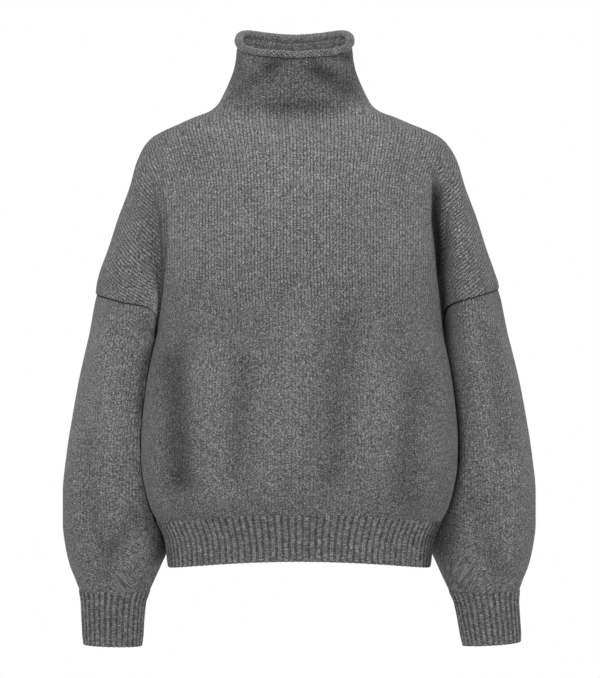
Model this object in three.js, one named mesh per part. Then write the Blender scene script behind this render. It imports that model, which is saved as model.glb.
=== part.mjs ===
// A knitted turtleneck sweater in the hollow form that it has when worn: a front and a back panel with
// dropped shoulders, two full sleeves, a funnel collar with a rolled edge, and ribbed hem and cuffs.
//
// Millimetres. x runs to the wearer's left, y to the back and z up. The origin is at the middle of the
// neck base, level with the top of the shoulders.
//
// The whole garment is one skin. It is worked out on horizontal slices: at each height a slice is the
// outline of the trunk with an arm on each side, and the valley between them gets deeper down to the
// underarm, where the sleeves part from the trunk. The skin is then cut into the maker's pieces, and
// each piece gets the thickness of the cloth inwards.
import * as THREE from "three";

const WALL = 2.6; // thickness of the plain knit
const SEAM_HALF_GAP = 0.25; // each piece stops this far short of its seam line
const UNDERARM_Z = -280;
const CUFF_TOP_Z = -618;
const CUFF_END_Z = -689;
const HEM_RIB_HEIGHT = 58;
const FULLNESS = 2.2; // exponent of the slices: 2 is an ellipse, more is boxier
const SIDE_SEAM_LEAN = 10; // degrees that the side seam lies behind the widest line of the trunk
const WIDEST_Y = -15; // where the trunk is widest, seen from the side
const SLEEVE_CLEARANCE = 4; // the sleeves hang just clear of the trunk

const RIB_PITCH_HEM = 8.4;
const RIB_PITCH_CUFF = 7.6;
const RIB_RISE = 1.6; // height of a rib over the groove beside it
const RIB_GROOVE = 0.36; // share of the pitch that the groove takes
const RIB_SINK = 0.3; // how far the grooves lie under the plain skin

const ROLL_RADIUS = 5.2; // the collar's free edge curls into a roll
const ROLL_INSET = 2.8; // from the collar's outer face in to the middle of the roll

// Steps along the skin. A quarter is a front or back half of one side.
const TRUNK_STEPS = 10;
const ARM_STEPS = 10;
const YOKE_ROWS = 11;
const BODY_ROWS = 8;
const SLEEVE_ROWS = 12;
const COLLAR_ROWS = 5;
const ROLL_STEPS = 7;
const RIB_ROWS = 2;

const FRONT = -1;
const BACK = 1;
const LEFT = 1;
const RIGHT = -1;

const radians = (degrees) => (degrees * Math.PI) / 180;
const mix = (a, b, t) => a + (b - a) * t;
const clamp01 = (t) => Math.min(1, Math.max(0, t));
const smooth = (t) => clamp01(t) ** 2 * (3 - 2 * clamp01(t));

// A table's rows, sorted by their first column, become smooth curves that never overshoot a row.
function table(columns, rows) {
  const sorted = [...rows].sort((a, b) => a[0] - b[0]);
  const keys = sorted.map((row) => row[0]);
  const curves = columns.slice(1).map((name, k) => {
    const values = sorted.map((row) => row[k + 1]);
    const rises = keys.slice(1).map((key, i) => (values[i + 1] - values[i]) / (key - keys[i]));
    const slopes = keys.map((key, i) => {
      if (i === 0) return rises[0];
      if (i === keys.length - 1) return rises[i - 1];
      const [before, after] = [rises[i - 1], rises[i]];
      return before * after <= 0 ? 0 : (2 * before * after) / (before + after);
    });
    return { name, values, slopes };
  });
  return (key) => {
    const at = Math.min(Math.max(key, keys[0]), keys[keys.length - 1]);
    let i = keys.findIndex((k) => k > at) - 1;
    if (i < 0) i = keys.length - 2;
    const span = keys[i + 1] - keys[i];
    const t = (at - keys[i]) / span;
    const found = {};
    for (const { name, values, slopes } of curves) {
      found[name] =
        values[i] * (1 + 2 * t) * (1 - t) ** 2 +
        slopes[i] * span * t * (1 - t) ** 2 +
        values[i + 1] * t ** 2 * (3 - 2 * t) +
        slopes[i + 1] * span * t ** 2 * (t - 1);
    }
    return found;
  };
}

// The collar and the trunk. edge is the half-width to the valley beside the arm, or to the side seam.
const trunk = table(["z", "edge", "front", "back"], [
  [116, 53, 66, 50],
  [77, 54, 70, 54],
  [45, 60, 73, 59],
  [16, 71, 72, 66],
  [7, 79, 71, 69],
  [-1, 97, 71.5, 73],
  [-10, 116, 77, 78],
  [-18, 134, 83, 82],
  [-26, 148, 88, 86],
  [-45, 164, 97, 93],
  [-60, 170, 102, 97],
  [-90, 174, 110, 103],
  [-130, 173, 117, 108],
  [-170, 177, 122, 111],
  [-212, 181, 125, 112],
  [-280, 187, 128, 112],
  [-316, 194, 128, 112.5],
  [-363, 201, 128, 113],
  [-420, 205.5, 128, 113],
  [-451, 205, 127, 113],
  [-478, 201, 126, 112],
  [-507, 193, 122, 110],
  [-528, 182, 116, 107],
  [-546, 174, 112, 104],
  [-564, 171, 110.5, 103],
  [-592, 169.5, 110, 102.5],
]);

// The outer line over the collar, the shoulder and the upper arm, and the width of the valley's floor.
const shoulder = table(["z", "outer", "ridgeY", "valley"], [
  [116, 75, -9, 8],
  [92, 75, -8, 8],
  [77, 76, -7, 8],
  [61, 79, -5, 8],
  [45, 85, -3, 9],
  [30, 92, -1, 10],
  [16, 100, 0, 11],
  [7, 111, 2, 12],
  [-1, 132, 4, 15],
  [-10, 153, 6, 17],
  [-18, 172, 8, 19],
  [-26, 187, 9, 21],
  [-34, 195.5, 10, 22],
  [-45, 203, 11, 23],
  [-60, 210, 13, 24],
  [-90, 219, 16, 24],
  [-130, 234, 19, 20],
  [-170, 247, 22, 15],
  [-212, 261, 24, 9],
  [-228, 263.5, 25, 7.5],
  [-280, 273, 26, 4.5],
]);

// How far the upper arm reaches to the front and to the back.
const upperArm = table(["z", "front", "back"], [
  [-60, 70, 88],
  [-150, 62, 94],
  [-228, 52, 96],
  [-280, 48, 95],
]);

// The sleeve below the underarm, from its inner line to its outer line.
const sleeve = table(["z", "inner", "outer", "innerY", "outerY", "front", "back"], [
  [-280, 188.9, 273, 10.9, 26, 48, 95],
  [-300, 185, 278, 20, 28, 46, 96],
  [-340, 184, 287.5, 32, 30, 42, 98],
  [-390, 184, 297, 42, 33, 38, 100],
  [-440, 176, 305, 50, 36, 34, 103],
  [-490, 166, 310, 57, 38, 31, 105],
  [-530, 162, 310, 57, 38, 29, 104],
  [-560, 170, 306.5, 50, 37, 26, 100],
  [-585, 181, 300.5, 44, 36, 20, 93],
  [-605, 190, 292.5, 38, 34, 11, 82],
  [-620, 197, 287.5, 34, 33, 4, 71],
  [-634, 202.5, 286, 33, 33, 2, 68],
  [-690, 210, 286.5, 33, 33, 1, 67],
]);

// The garment hangs a little out of true: the neck stands to one side of the body.
const sway = table(["z", "x"], [
  [116, 0],
  [0, 0],
  [-26, 2],
  [-60, 3],
  [-200, 3],
  [-240, 4.5],
  [-400, 6],
  [-600, 6],
  [-690, 10],
]);

// Heights of the collar's free edge and of the neckline, round from the front (0) to the back (2).
const collarLines = table(["quarters", "rim", "neckline"], [
  [0, 75, -4],
  [0.5, 82, 6],
  [1, 98, 18],
  [1.5, 110, 16],
  [2, 106, 14],
]);

// The armhole seam, from the underarm (0) over the front or back of the arm to its outer line (1).
const armhole = table(["arm", "z"], [
  [0, UNDERARM_Z],
  [0.1, -266],
  [0.2, -253],
  [0.45, -241],
  [0.7, -233],
  [1, -226],
]);
const ARMHOLE_RAISE = { [LEFT]: 5, [RIGHT]: -2 }; // the two seams don't hang level

const CUFF_TILT = { [LEFT]: 6, [RIGHT]: 2 }; // the cuffs' lower edges rise to the outside

// The lower edge of the hem rises to the middle, in front more than at the back.
const HEM_SIDE_Z = -582;
const HEM_RISE = { [FRONT]: 12, [BACK]: 4 };

// Where the valley beside each arm starts, and how soon it deepens.
const VALLEY = {
  [FRONT]: { startZ: -70, power: { [LEFT]: 0.72, [RIGHT]: 0.95 } },
  [BACK]: { startZ: -95, power: { [LEFT]: 1.0, [RIGHT]: 1.0 } },
};

// Soft troughs (depth above 0) and ridges (below 0), each along a line from (x1, z1) to (x2, z2).
const FOLD_COLUMNS = ["face", "x1", "z1", "x2", "z2", "depth", "width"];
const FOLDS = [
  [FRONT, -88, 14, -30, 60, 5, 11],
  [FRONT, 98, 16, 30, 56, 6.5, 12],
  [FRONT, -26, 0, 30, 0, 4, 12],
  [BACK, -70, 18, -25, 50, 4, 11],
  [BACK, 76, 20, 22, 48, 4, 11],
  [FRONT, -166, -320, -156, -470, 8, 16],
  [FRONT, -122, -310, -104, -490, -6.5, 19],
  [FRONT, -70, -320, -84, -460, 5, 15],
  [FRONT, 6, -260, -42, -470, -5.5, 22],
  [FRONT, 62, -270, 38, -460, 5, 19],
  [FRONT, 150, -340, 132, -490, 5.5, 18],
  [FRONT, 104, -330, 92, -470, -4, 18],
  [BACK, -140, -260, -118, -480, 4.5, 20],
  [BACK, -60, -200, -40, -470, -4, 26],
  [BACK, 20, -280, 44, -490, 3.5, 22],
  [BACK, 128, -250, 112, -470, 4.5, 20],
  [BACK, 74, -240, 84, -460, -3.5, 18],
  [FRONT, -256, -300, -236, -440, -4.5, 15],
  [FRONT, -212, -520, -262, -585, 5, 12],
  [FRONT, -282, -430, -262, -560, 4.5, 14],
  [FRONT, 250, -290, 268, -430, 4.5, 14],
  [FRONT, 226, -500, 264, -590, 4.5, 12],
  [FRONT, 288, -460, 276, -575, -4, 13],
  [BACK, -250, -320, -262, -520, 4, 16],
  [BACK, -214, -500, -252, -592, 4.5, 12],
  [BACK, 252, -310, 268, -500, 4, 16],
  [BACK, 222, -510, 258, -590, 4.5, 12],
].map((row) => Object.fromEntries(row.map((value, k) => [FOLD_COLUMNS[k], value])));

function foldDepth(face, x, z) {
  let depth = 0;
  for (const f of FOLDS) {
    if (f.face !== face) continue;
    const [dx, dz] = [f.x2 - f.x1, f.z2 - f.z1];
    const t = clamp01(((x - f.x1) * dx + (z - f.z1) * dz) / (dx * dx + dz * dz));
    const away = Math.hypot(x - f.x1 - t * dx, z - f.z1 - t * dz);
    depth += f.depth * Math.exp(-((away / f.width) ** 2));
  }
  return depth;
}

// The trunk is drawn in beside the right arm, around one height.
const DRAWN_IN = { [LEFT]: 0, [RIGHT]: 12 };
const DRAWN_IN_Z = -190;
const DRAWN_IN_HEIGHT = 85;
const DRAWN_IN_WIDTH = 45;
function drawnIn(side, x, z) {
  const above = (z - DRAWN_IN_Z) / DRAWN_IN_HEIGHT;
  const beside = (x - trunk(z).edge) / DRAWN_IN_WIDTH;
  return DRAWN_IN[side] * Math.exp(-(above ** 2) - beside ** 2);
}

// Half of a slice's outline is a quarter of a superellipse: 1 in the middle, 0 at the side.
const bulge = (share) => Math.max(0, 1 - Math.abs(share) ** FULLNESS) ** (1 / FULLNESS);
const sinPower = (angle) => Math.max(0, Math.sin(angle)) ** (2 / FULLNESS);
const cosPower = (angle) => Math.max(0, Math.cos(angle)) ** (2 / FULLNESS);

// The point of the trunk's own outline at angle degrees round from the middle of the front or back.
function trunkPoint(face, angle, z) {
  const { edge, front, back } = trunk(z);
  const a = radians(angle);
  const ahead = angle <= 90 ? face : -face;
  const reach = ahead === FRONT ? -(front + WIDEST_Y) : back - WIDEST_Y;
  return [edge * sinPower(a), WIDEST_Y + reach * cosPower(angle <= 90 ? a : Math.PI - a)];
}

const valleyAngle = (face, z) => 90 - face * SIDE_SEAM_LEAN * smooth((z + 90) / (UNDERARM_Z + 90));

function valleyDepth(side, face, z) {
  const { startZ, power } = VALLEY[face];
  return clamp01((z - startZ) / (UNDERARM_Z - startZ)) ** power[side];
}

// A quarter of an arm's outline: share 0 is its inner line, 1 its outer line.
const ARM_CREST = 0.45; // the share where the arm reaches furthest to the front or back
const ARM_CREST_X = 0.42; // how far out that is
const ARM_FALL = 0.7; // over 0, the arm falls away towards the trunk instead of rounding in
const ARM_FALL_END = 80; // height above the cuff over which that fades out
function armOutline(share, inner, innerY, outer, outerY, crestY, z) {
  const crestX = mix(inner, outer, ARM_CREST_X);
  if (share <= ARM_CREST) {
    const a = (share / ARM_CREST) * (Math.PI / 2);
    const rise = Math.sin(a) ** (1 + ARM_FALL * smooth((z - CUFF_TOP_Z) / ARM_FALL_END));
    return [crestX - (crestX - inner) * Math.cos(a), innerY + (crestY - innerY) * rise];
  }
  const a = ((share - ARM_CREST) / (1 - ARM_CREST)) * (Math.PI / 2);
  return [crestX + (outer - crestX) * Math.sin(a), outerY + (crestY - outerY) * Math.cos(a)];
}

// The skin at height z. along is 0 to 1 on the trunk, 1 to 2 across the valley's floor and 2 to 3 on
// the arm. Below the underarm 0 to 1 is the trunk alone and 2 to 3 the sleeve alone.
function skin(side, face, along, z) {
  let point;
  if (z <= UNDERARM_Z) {
    point = along <= 1 ? trunkPoint(face, along * valleyAngle(face, z), z) : sleevePoint(face, along - 2, z);
  } else {
    point = yokePoint(side, face, along, z);
  }
  const [x, y] = [point[0] - drawnIn(side, point[0], z), point[1]];
  const inward = foldDepth(face, side * x, z) * foldShare(along, z);
  return new THREE.Vector3(side * x + sway(z).x, y - face * inward, z);
}

// Folds fade out towards the lines where the front and the back meet.
function foldShare(along, z) {
  const fromRidge = Math.min(1, 3 - along);
  const fromSide = along <= 1 ? 1 - along : Math.max(0, along - 2);
  const low = smooth((UNDERARM_Z + 100 - z) / 100);
  return smooth(fromRidge / 0.3) * mix(1, smooth(fromSide / 0.25), low);
}

function yokePoint(side, face, along, z) {
  const { outer, ridgeY, valley } = shoulder(z);
  const angle = valleyAngle(face, z);
  const [endX, endY] = trunkPoint(face, angle, z);
  const depth = valleyDepth(side, face, z);
  let [x, y] = [0, 0];
  if (along <= 1) [x, y] = trunkPoint(face, along * angle, z);
  else if (along < 2) [x, y] = [endX + valley * (along - 1), endY];
  else {
    const reach = upperArm(z);
    const crestY = face === FRONT ? -reach.front : reach.back;
    const [armX, armY] = armOutline(along - 2, endX + valley, endY, outer, ridgeY, crestY, z);
    const evenX = outer * Math.sin(mix(Math.asin((endX + valley) / outer), Math.PI / 2, along - 2));
    [x, y] = [mix(evenX, armX, smooth(2 * depth)), armY];
  }
  const { front, back } = trunk(z);
  const single = ridgeY + (face === FRONT ? -(front + ridgeY) : back - ridgeY) * bulge(x / outer);
  return [x, mix(single, y, depth)];
}

function sleevePoint(face, share, z) {
  const s = sleeve(z);
  const crestY = face === FRONT ? -s.front : s.back;
  const [x, y] = armOutline(share, s.inner, s.innerY, s.outer, s.outerY, crestY, z);
  const { edge, front, back } = trunk(z);
  const reach = y < WIDEST_Y ? front + WIDEST_Y : back - WIDEST_Y;
  const besideRib = smooth((HEM_SIDE_Z + HEM_RIB_HEIGHT + 12 - z) / 12);
  const clear = SLEEVE_CLEARANCE * smooth((UNDERARM_Z - z) / 20) + RIB_RISE * besideRib;
  const beside = edge * bulge((y - WIDEST_Y) / reach) + clear;
  return z < HEM_SIDE_Z - 10 || z > UNDERARM_Z - 2 ? [x, y] : [Math.max(x, beside), y];
}

// The height at each step of a line down the skin, the steps evenly long.
const PATH_SAMPLES = 160;
function evenHeights(side, face, along, fromZ, toZ, steps) {
  const lengths = [0];
  let last = skin(side, face, along, fromZ);
  for (let i = 1; i <= PATH_SAMPLES; i++) {
    const next = skin(side, face, along, mix(fromZ, toZ, i / PATH_SAMPLES));
    lengths.push(lengths[i - 1] + next.distanceTo(last));
    last = next;
  }
  const whole = lengths[PATH_SAMPLES];
  let i = 0;
  return Array.from({ length: steps + 1 }, (_, k) => {
    const wanted = (whole * k) / steps;
    while (i < PATH_SAMPLES - 1 && lengths[i + 1] < wanted) i++;
    const t = clamp01((wanted - lengths[i]) / (lengths[i + 1] - lengths[i]));
    return mix(fromZ, toZ, (i + t) / PATH_SAMPLES);
  });
}

// One line of the skin from neck to underarm or armhole. quarters is its place round the neck.
function columnAt(side, face, along) {
  const onArm = clamp01(along - 2);
  const onQuarter = 0.5 * Math.min(1, along) + 0.06 * clamp01(along - 1) + 0.44 * onArm;
  const quarters = face === FRONT ? onQuarter : 2 - onQuarter;
  const lowest = armhole(onArm).z + ARMHOLE_RAISE[side] * smooth(onArm * 2);
  return { side, face, along, quarters, lowest: along < 2 ? UNDERARM_Z : lowest };
}

const QUARTER_STEPS = [
  ...Array.from({ length: TRUNK_STEPS + 1 }, (_, i) => i / TRUNK_STEPS),
  ...Array.from({ length: ARM_STEPS + 1 }, (_, i) => 2 + i / ARM_STEPS),
];

// The columns of the front or the back, from the wearer's right to the left.
function facePanelColumns(face) {
  const right = [...QUARTER_STEPS].reverse().map((along) => columnAt(RIGHT, face, along));
  const left = QUARTER_STEPS.slice(1).map((along) => columnAt(LEFT, face, along));
  return [...right, ...left];
}

// A net of points with the quads between them. Points in the same place are one point.
class Net {
  constructor() {
    this.points = [];
    this.places = new Map();
    this.pieces = new Map();
  }

  point(p) {
    const key = [p.x, p.y, p.z].map((v) => Math.round(v * 200)).join();
    if (!this.places.has(key)) this.places.set(key, this.points.push(p) - 1);
    return this.places.get(key);
  }

  // Quads of a grid of rows, with the faces out when each row runs anticlockwise seen from above.
  grid(piece, rows) {
    const faces = this.pieces.get(piece) ?? [];
    for (let r = 0; r + 1 < rows.length; r++) {
      for (let c = 0; c + 1 < rows[r].length; c++) {
        const quad = [rows[r][c], rows[r + 1][c], rows[r + 1][c + 1], rows[r][c + 1]];
        const corners = quad.map((p) => this.point(p));
        const [a, b, d, e] = corners;
        if (new Set([a, b, d]).size === 3) faces.push([a, b, d]);
        if (new Set([a, d, e]).size === 3) faces.push([a, d, e]);
      }
    }
    this.pieces.set(piece, faces);
  }

  // The outward direction at every point, shared by the pieces that meet there.
  normals() {
    const sums = this.points.map(() => new THREE.Vector3());
    for (const faces of this.pieces.values()) {
      for (const f of faces) {
        const [p, q, r] = f.map((i) => this.points[i]);
        const normal = q.clone().sub(p).cross(r.clone().sub(p));
        for (const i of f) sums[i].add(normal);
      }
    }
    return sums.map((n) => n.normalize());
  }
}

// The directed edges that only one face of a piece uses, each with that face.
function rimOf(faces) {
  const owner = new Map();
  for (const f of faces) f.forEach((from, k) => owner.set(`${from},${f[(k + 1) % 3]}`, f));
  const edges = [...owner].map(([edge, face]) => ({ ends: edge.split(",").map(Number), face }));
  return edges.filter(({ ends: [a, b] }) => !owner.has(`${b},${a}`));
}

// How far each rim point moves in from the seam line, square to both of the rim's edges there.
function rimInsets(net, rim, normals) {
  const ways = new Map();
  for (const { ends: [a, b], face } of rim) {
    const [p, q, r] = face.map((i) => net.points[i]);
    const normal = q.clone().sub(p).cross(r.clone().sub(p));
    const way = normal.cross(net.points[b].clone().sub(net.points[a])).normalize();
    for (const i of [a, b]) {
      const out = normals[i].clone().normalize();
      const level = way.clone().addScaledVector(out, -way.dot(out)).normalize();
      ways.set(i, [...(ways.get(i) ?? []), level]);
    }
  }
  const insets = new Map();
  for (const [i, [one, two]] of ways) {
    const both = one.clone().add(two);
    insets.set(i, both.multiplyScalar(SEAM_HALF_GAP / Math.max(0.4, 1 + one.dot(two))));
  }
  return insets;
}

// The two triangles of a seam's cut face, split alike in both of the pieces that meet there.
function cutFace(a, b, innerA, innerB, aFirst) {
  return aFirst ? [a, innerA, innerB, a, innerB, b] : [a, innerA, b, b, innerA, innerB];
}

// A piece of the net as a solid: its outer points, the same points moved in by the wall, and the rims.
function wallOf(net, piece, normals) {
  const faces = net.pieces.get(piece);
  const rim = rimOf(faces);
  const insets = rimInsets(net, rim, normals);
  const face = { front: FRONT, back: BACK }[piece];
  for (const [i, inset] of insets) {
    if (face && Math.abs(net.points[i].z - UNDERARM_Z) < 0.01) inset.y = face * SEAM_HALF_GAP;
  }
  const ids = [...new Set(faces.flat())];
  const place = new Map(ids.map((id, k) => [id, k]));
  const outer = ids.map((id) => net.points[id].clone().add(insets.get(id) ?? new THREE.Vector3()));
  const inner = outer.map((p, k) => p.clone().addScaledVector(normals[ids[k]], -WALL));
  const count = ids.length;
  const index = [];
  for (const [a, b, c] of faces.map((f) => f.map((i) => place.get(i)))) {
    index.push(a, b, c, count + a, count + c, count + b);
  }
  for (const { ends } of rim) {
    const [a, b] = ends.map((i) => place.get(i));
    index.push(...cutFace(a, b, count + a, count + b, ends[0] < ends[1]));
  }
  return solid([...outer, ...inner], index);
}

function solid(points, index) {
  const geometry = new THREE.BufferGeometry();
  geometry.setAttribute("position", new THREE.Float32BufferAttribute(points.flatMap((p) => p.toArray()), 3));
  geometry.setIndex(index);
  geometry.computeVertexNormals();
  return geometry;
}

// The height where the panels end and the hem rib starts, and the rib's lower edge.
function hemZ(side, face, along) {
  const angle = valleyAngle(face, HEM_SIDE_Z);
  const [x] = trunkPoint(face, along * angle, HEM_SIDE_Z);
  const [sideX] = trunkPoint(face, angle, HEM_SIDE_Z);
  return HEM_SIDE_Z + HEM_RISE[face] * (1 - (Math.min(x, sideX) / sideX) ** 2);
}
const hemRibTopZ = (side, face, along) => hemZ(side, face, along) + HEM_RIB_HEIGHT;

// Front and back panels: the yoke from the neckline to the underarm level, then the trunk to the rib.
function addPanel(net, face) {
  const columns = facePanelColumns(face);
  const piece = face === FRONT ? "front" : "back";
  const heights = columns.map((c) =>
    evenHeights(c.side, c.face, c.along, collarLines(c.quarters).neckline, c.lowest, YOKE_ROWS)
  );
  const yoke = Array.from({ length: YOKE_ROWS + 1 }, (_, r) =>
    columns.map((c, k) => skin(c.side, c.face, c.along, heights[k][r]))
  );
  const trunkColumns = columns.filter((c) => c.along <= 1);
  const body = Array.from({ length: BODY_ROWS + 1 }, (_, r) =>
    trunkColumns.map((c) => {
      const z = mix(UNDERARM_Z, hemRibTopZ(c.side, c.face, c.along), r / BODY_ROWS);
      return skin(c.side, c.face, c.along, z);
    })
  );
  const turned = (rows) => (face === FRONT ? rows : rows.map((row) => [...row].reverse()));
  net.grid(piece, turned(yoke));
  net.grid(piece, turned(body));
}

// The columns round an arm, anticlockwise from above, from its inner line and back to it.
function armColumns(side) {
  const onArm = QUARTER_STEPS.filter((along) => along >= 2);
  const front = onArm.map((along) => columnAt(side, FRONT, along));
  const back = onArm.map((along) => columnAt(side, BACK, along)).reverse().slice(1);
  const round = [...front, ...back];
  return side === LEFT ? round : round.reverse();
}

function addSleeve(net, side) {
  const columns = armColumns(side);
  const heights = columns.map((c) => evenHeights(side, c.face, c.along, c.lowest, CUFF_TOP_Z, SLEEVE_ROWS));
  const rows = Array.from({ length: SLEEVE_ROWS + 1 }, (_, r) =>
    columns.map((c, k) => skin(side, c.face, c.along, heights[k][r]))
  );
  net.grid(side === LEFT ? "sleeve_left" : "sleeve_right", rows);
}

const collarRing = () => [...facePanelColumns(FRONT), ...facePanelColumns(BACK).reverse().slice(1, -1)];
const rollStartZ = (c) => collarLines(c.quarters).rim - ROLL_RADIUS * 0.8;

function addCollar(net) {
  const ring = collarRing();
  const rows = Array.from({ length: COLLAR_ROWS + 1 }, (_, r) =>
    [...ring, ring[0]].map((c) => {
      const z = mix(rollStartZ(c), collarLines(c.quarters).neckline, r / COLLAR_ROWS);
      return skin(c.side, c.face, c.along, z);
    })
  );
  net.grid("collar", rows);
}

// The collar as one closed band. Each section goes up the outside, round the roll and down inside.
function collar(net, normals) {
  const insets = rimInsets(net, rimOf(net.pieces.get("collar")), normals);
  const feet = [];
  const sections = collarRing().map((c) => {
    const { rim, neckline } = collarLines(c.quarters);
    const wall = Array.from({ length: COLLAR_ROWS + 1 }, (_, r) => {
      const id = net.point(skin(c.side, c.face, c.along, mix(neckline, rollStartZ(c), r / COLLAR_ROWS)));
      const outside = net.points[id].clone();
      if (r === 0) {
        outside.add(insets.get(id));
        feet.push(id);
      }
      return { outside, inside: outside.clone().addScaledVector(normals[id], -WALL) };
    });
    const level = outwardAt(c, rim);
    const middle = skin(c.side, c.face, c.along, rim).addScaledVector(level, -ROLL_INSET);
    const roll = Array.from({ length: ROLL_STEPS }, (_, k) => {
      const a = radians(mix(-40, 235, k / (ROLL_STEPS - 1)));
      const up = new THREE.Vector3(0, 0, ROLL_RADIUS * Math.sin(a));
      return middle.clone().addScaledVector(level, ROLL_RADIUS * Math.cos(a)).add(up);
    });
    return [...wall.map((p) => p.outside), ...roll, ...wall.map((p) => p.inside).reverse()];
  });
  const size = sections[0].length;
  const index = [];
  sections.forEach((_, k) => {
    const next = (k + 1) % sections.length;
    for (let i = 0; i + 1 < size; i++) {
      const [a, b, c, d] = [k * size + i, next * size + i, next * size + i + 1, k * size + i + 1];
      index.push(a, b, c, a, c, d);
    }
    const [a, b] = [k * size, next * size];
    index.push(...cutFace(a, b, a + size - 1, b + size - 1, feet[k] < feet[next]));
  });
  return solid(sections.flat(), index);
}

// The level direction out of the skin, square to its slice.
function outwardAt({ side, face, along }, z) {
  const [low, high] = along <= 1 ? [0, 1] : along < 2 ? [1, 2] : [2, 3];
  const step = 0.02;
  const ahead = skin(side, face, Math.min(high, along + step), z);
  const behind = skin(side, face, Math.max(low, along - step), z);
  const line = ahead.sub(behind).setZ(0).normalize();
  if (along < step) line.set(side, 0, 0);
  if (along > 3 - step) line.set(0, -face, 0);
  if (along === 1 && z <= UNDERARM_Z) {
    const angle = valleyAngle(face, z);
    const [x1, y1] = trunkPoint(face, angle - 1, z);
    const [x2, y2] = trunkPoint(face, angle + 1, z);
    line.set(side * (x2 - x1), y2 - y1, 0).normalize();
  }
  return new THREE.Vector3(line.y, -line.x, 0).multiplyScalar(-side * face);
}

// Across a rib: the groove, then the two edges of the raised part, each at its share of the pitch.
const RIB_PROFILE = [
  { at: 0, rise: 0 },
  { at: RIB_GROOVE / 2, rise: 1 },
  { at: 1 - RIB_GROOVE / 2, rise: 1 },
];

// Columns for a ribbed band, its ribs evenly spaced along the line that path gives for 0 to 1.
function ribColumns(path, pitch, z, closed) {
  const samples = 720;
  const spots = Array.from({ length: samples + 1 }, (_, i) => {
    const c = path(i / samples);
    return skin(c.side, c.face, c.along, z);
  });
  const lengths = [0];
  for (let i = 1; i <= samples; i++) lengths.push(lengths[i - 1] + spots[i].distanceTo(spots[i - 1]));
  const whole = lengths[samples];
  const ribs = Math.round(whole / pitch);
  const columns = [];
  let i = 0;
  for (let k = 0; k < ribs * RIB_PROFILE.length + (closed ? 0 : 1); k++) {
    const { at, rise } = RIB_PROFILE[k % RIB_PROFILE.length];
    const wanted = (whole * (Math.floor(k / RIB_PROFILE.length) + at)) / ribs;
    while (i < samples - 1 && lengths[i + 1] < wanted) i++;
    const t = clamp01((wanted - lengths[i]) / (lengths[i + 1] - lengths[i]));
    columns.push({ ...path((i + t) / samples), rise });
  }
  return columns;
}

// A ribbed band between two heights: ribs outside, and one plain inner column behind each groove.
function ribBand(columns, closed, topZ, endZ) {
  const lineOf = (c, outward) =>
    Array.from({ length: RIB_ROWS + 1 }, (_, r) => {
      const z = mix(topZ(c), endZ(c), r / RIB_ROWS);
      return skin(c.side, c.face, c.along, z).addScaledVector(outwardAt(c, z), outward);
    });
  const outer = columns.map((c) => lineOf(c, c.rise * RIB_RISE - RIB_SINK));
  const inner = columns.filter((c) => c.rise === 0).map((c) => lineOf(c, -WALL));
  const rows = RIB_ROWS + 1;
  const start = outer.length * rows;
  const outside = (c, r) => (c % outer.length) * rows + r;
  const inside = (k, r) => start + (k % inner.length) * rows + r;
  const spans = closed ? outer.length : outer.length - 1;
  const ribs = spans / RIB_PROFILE.length;
  const index = [];
  const quad = (a, b, c, d) => index.push(a, b, c, a, c, d);
  for (let r = 0; r < RIB_ROWS; r++) {
    for (let c = 0; c < spans; c++) {
      quad(outside(c, r), outside(c, r + 1), outside(c + 1, r + 1), outside(c + 1, r));
    }
    for (let k = 0; k < ribs; k++) {
      quad(inside(k, r), inside(k + 1, r), inside(k + 1, r + 1), inside(k, r + 1));
    }
  }
  for (let k = 0; k < ribs; k++) {
    const c = k * RIB_PROFILE.length;
    for (const r of [0, RIB_ROWS]) {
      const fan = [
        [outside(c, r), inside(k, r), outside(c + 1, r)],
        [outside(c + 1, r), inside(k, r), inside(k + 1, r)],
        [outside(c + 1, r), inside(k + 1, r), outside(c + 2, r)],
        [outside(c + 2, r), inside(k + 1, r), outside(c + 3, r)],
      ];
      for (const [a, b, d] of fan) index.push(...(r === 0 ? [a, d, b] : [a, b, d]));
    }
  }
  if (!closed) {
    for (let r = 0; r < RIB_ROWS; r++) {
      quad(outside(0, r), inside(0, r), inside(0, r + 1), outside(0, r + 1));
      quad(outside(spans, r), outside(spans, r + 1), inside(ribs, r + 1), inside(ribs, r));
    }
  }
  return solid([...outer.flat(), ...inner.flat()], index);
}

// The trunk's line from one side seam to the other, and the line round a sleeve.
function trunkPath(face) {
  return (t) => {
    const along = Math.abs(2 * t - 1);
    const first = face === FRONT ? RIGHT : LEFT;
    return { side: t < 0.5 ? first : -first, face, along };
  };
}

function armPath(side) {
  return (t) => {
    const turn = side === LEFT ? t : 1 - t;
    return { side, face: turn < 0.5 ? FRONT : BACK, along: 2 + (turn < 0.5 ? turn * 2 : 2 - turn * 2) };
  };
}

// Half of the hem rib. The two halves stand apart at the side seams.
function hemRib(face) {
  const columns = ribColumns(trunkPath(face), RIB_PITCH_HEM, HEM_SIDE_Z + 20, false);
  const top = (c) => hemRibTopZ(c.side, c.face, c.along) - 2 * SEAM_HALF_GAP;
  const end = (c) => hemZ(c.side, c.face, c.along);
  return ribBand(columns, false, top, end).translate(0, face * SEAM_HALF_GAP, 0);
}

function cuff(side) {
  const columns = ribColumns(armPath(side), RIB_PITCH_CUFF, (CUFF_TOP_Z + CUFF_END_Z) / 2, true);
  const end = (c) => CUFF_END_Z + CUFF_TILT[side] * clamp01(c.along - 2);
  return ribBand(columns, true, () => CUFF_TOP_Z - 2 * SEAM_HALF_GAP, end);
}

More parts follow.
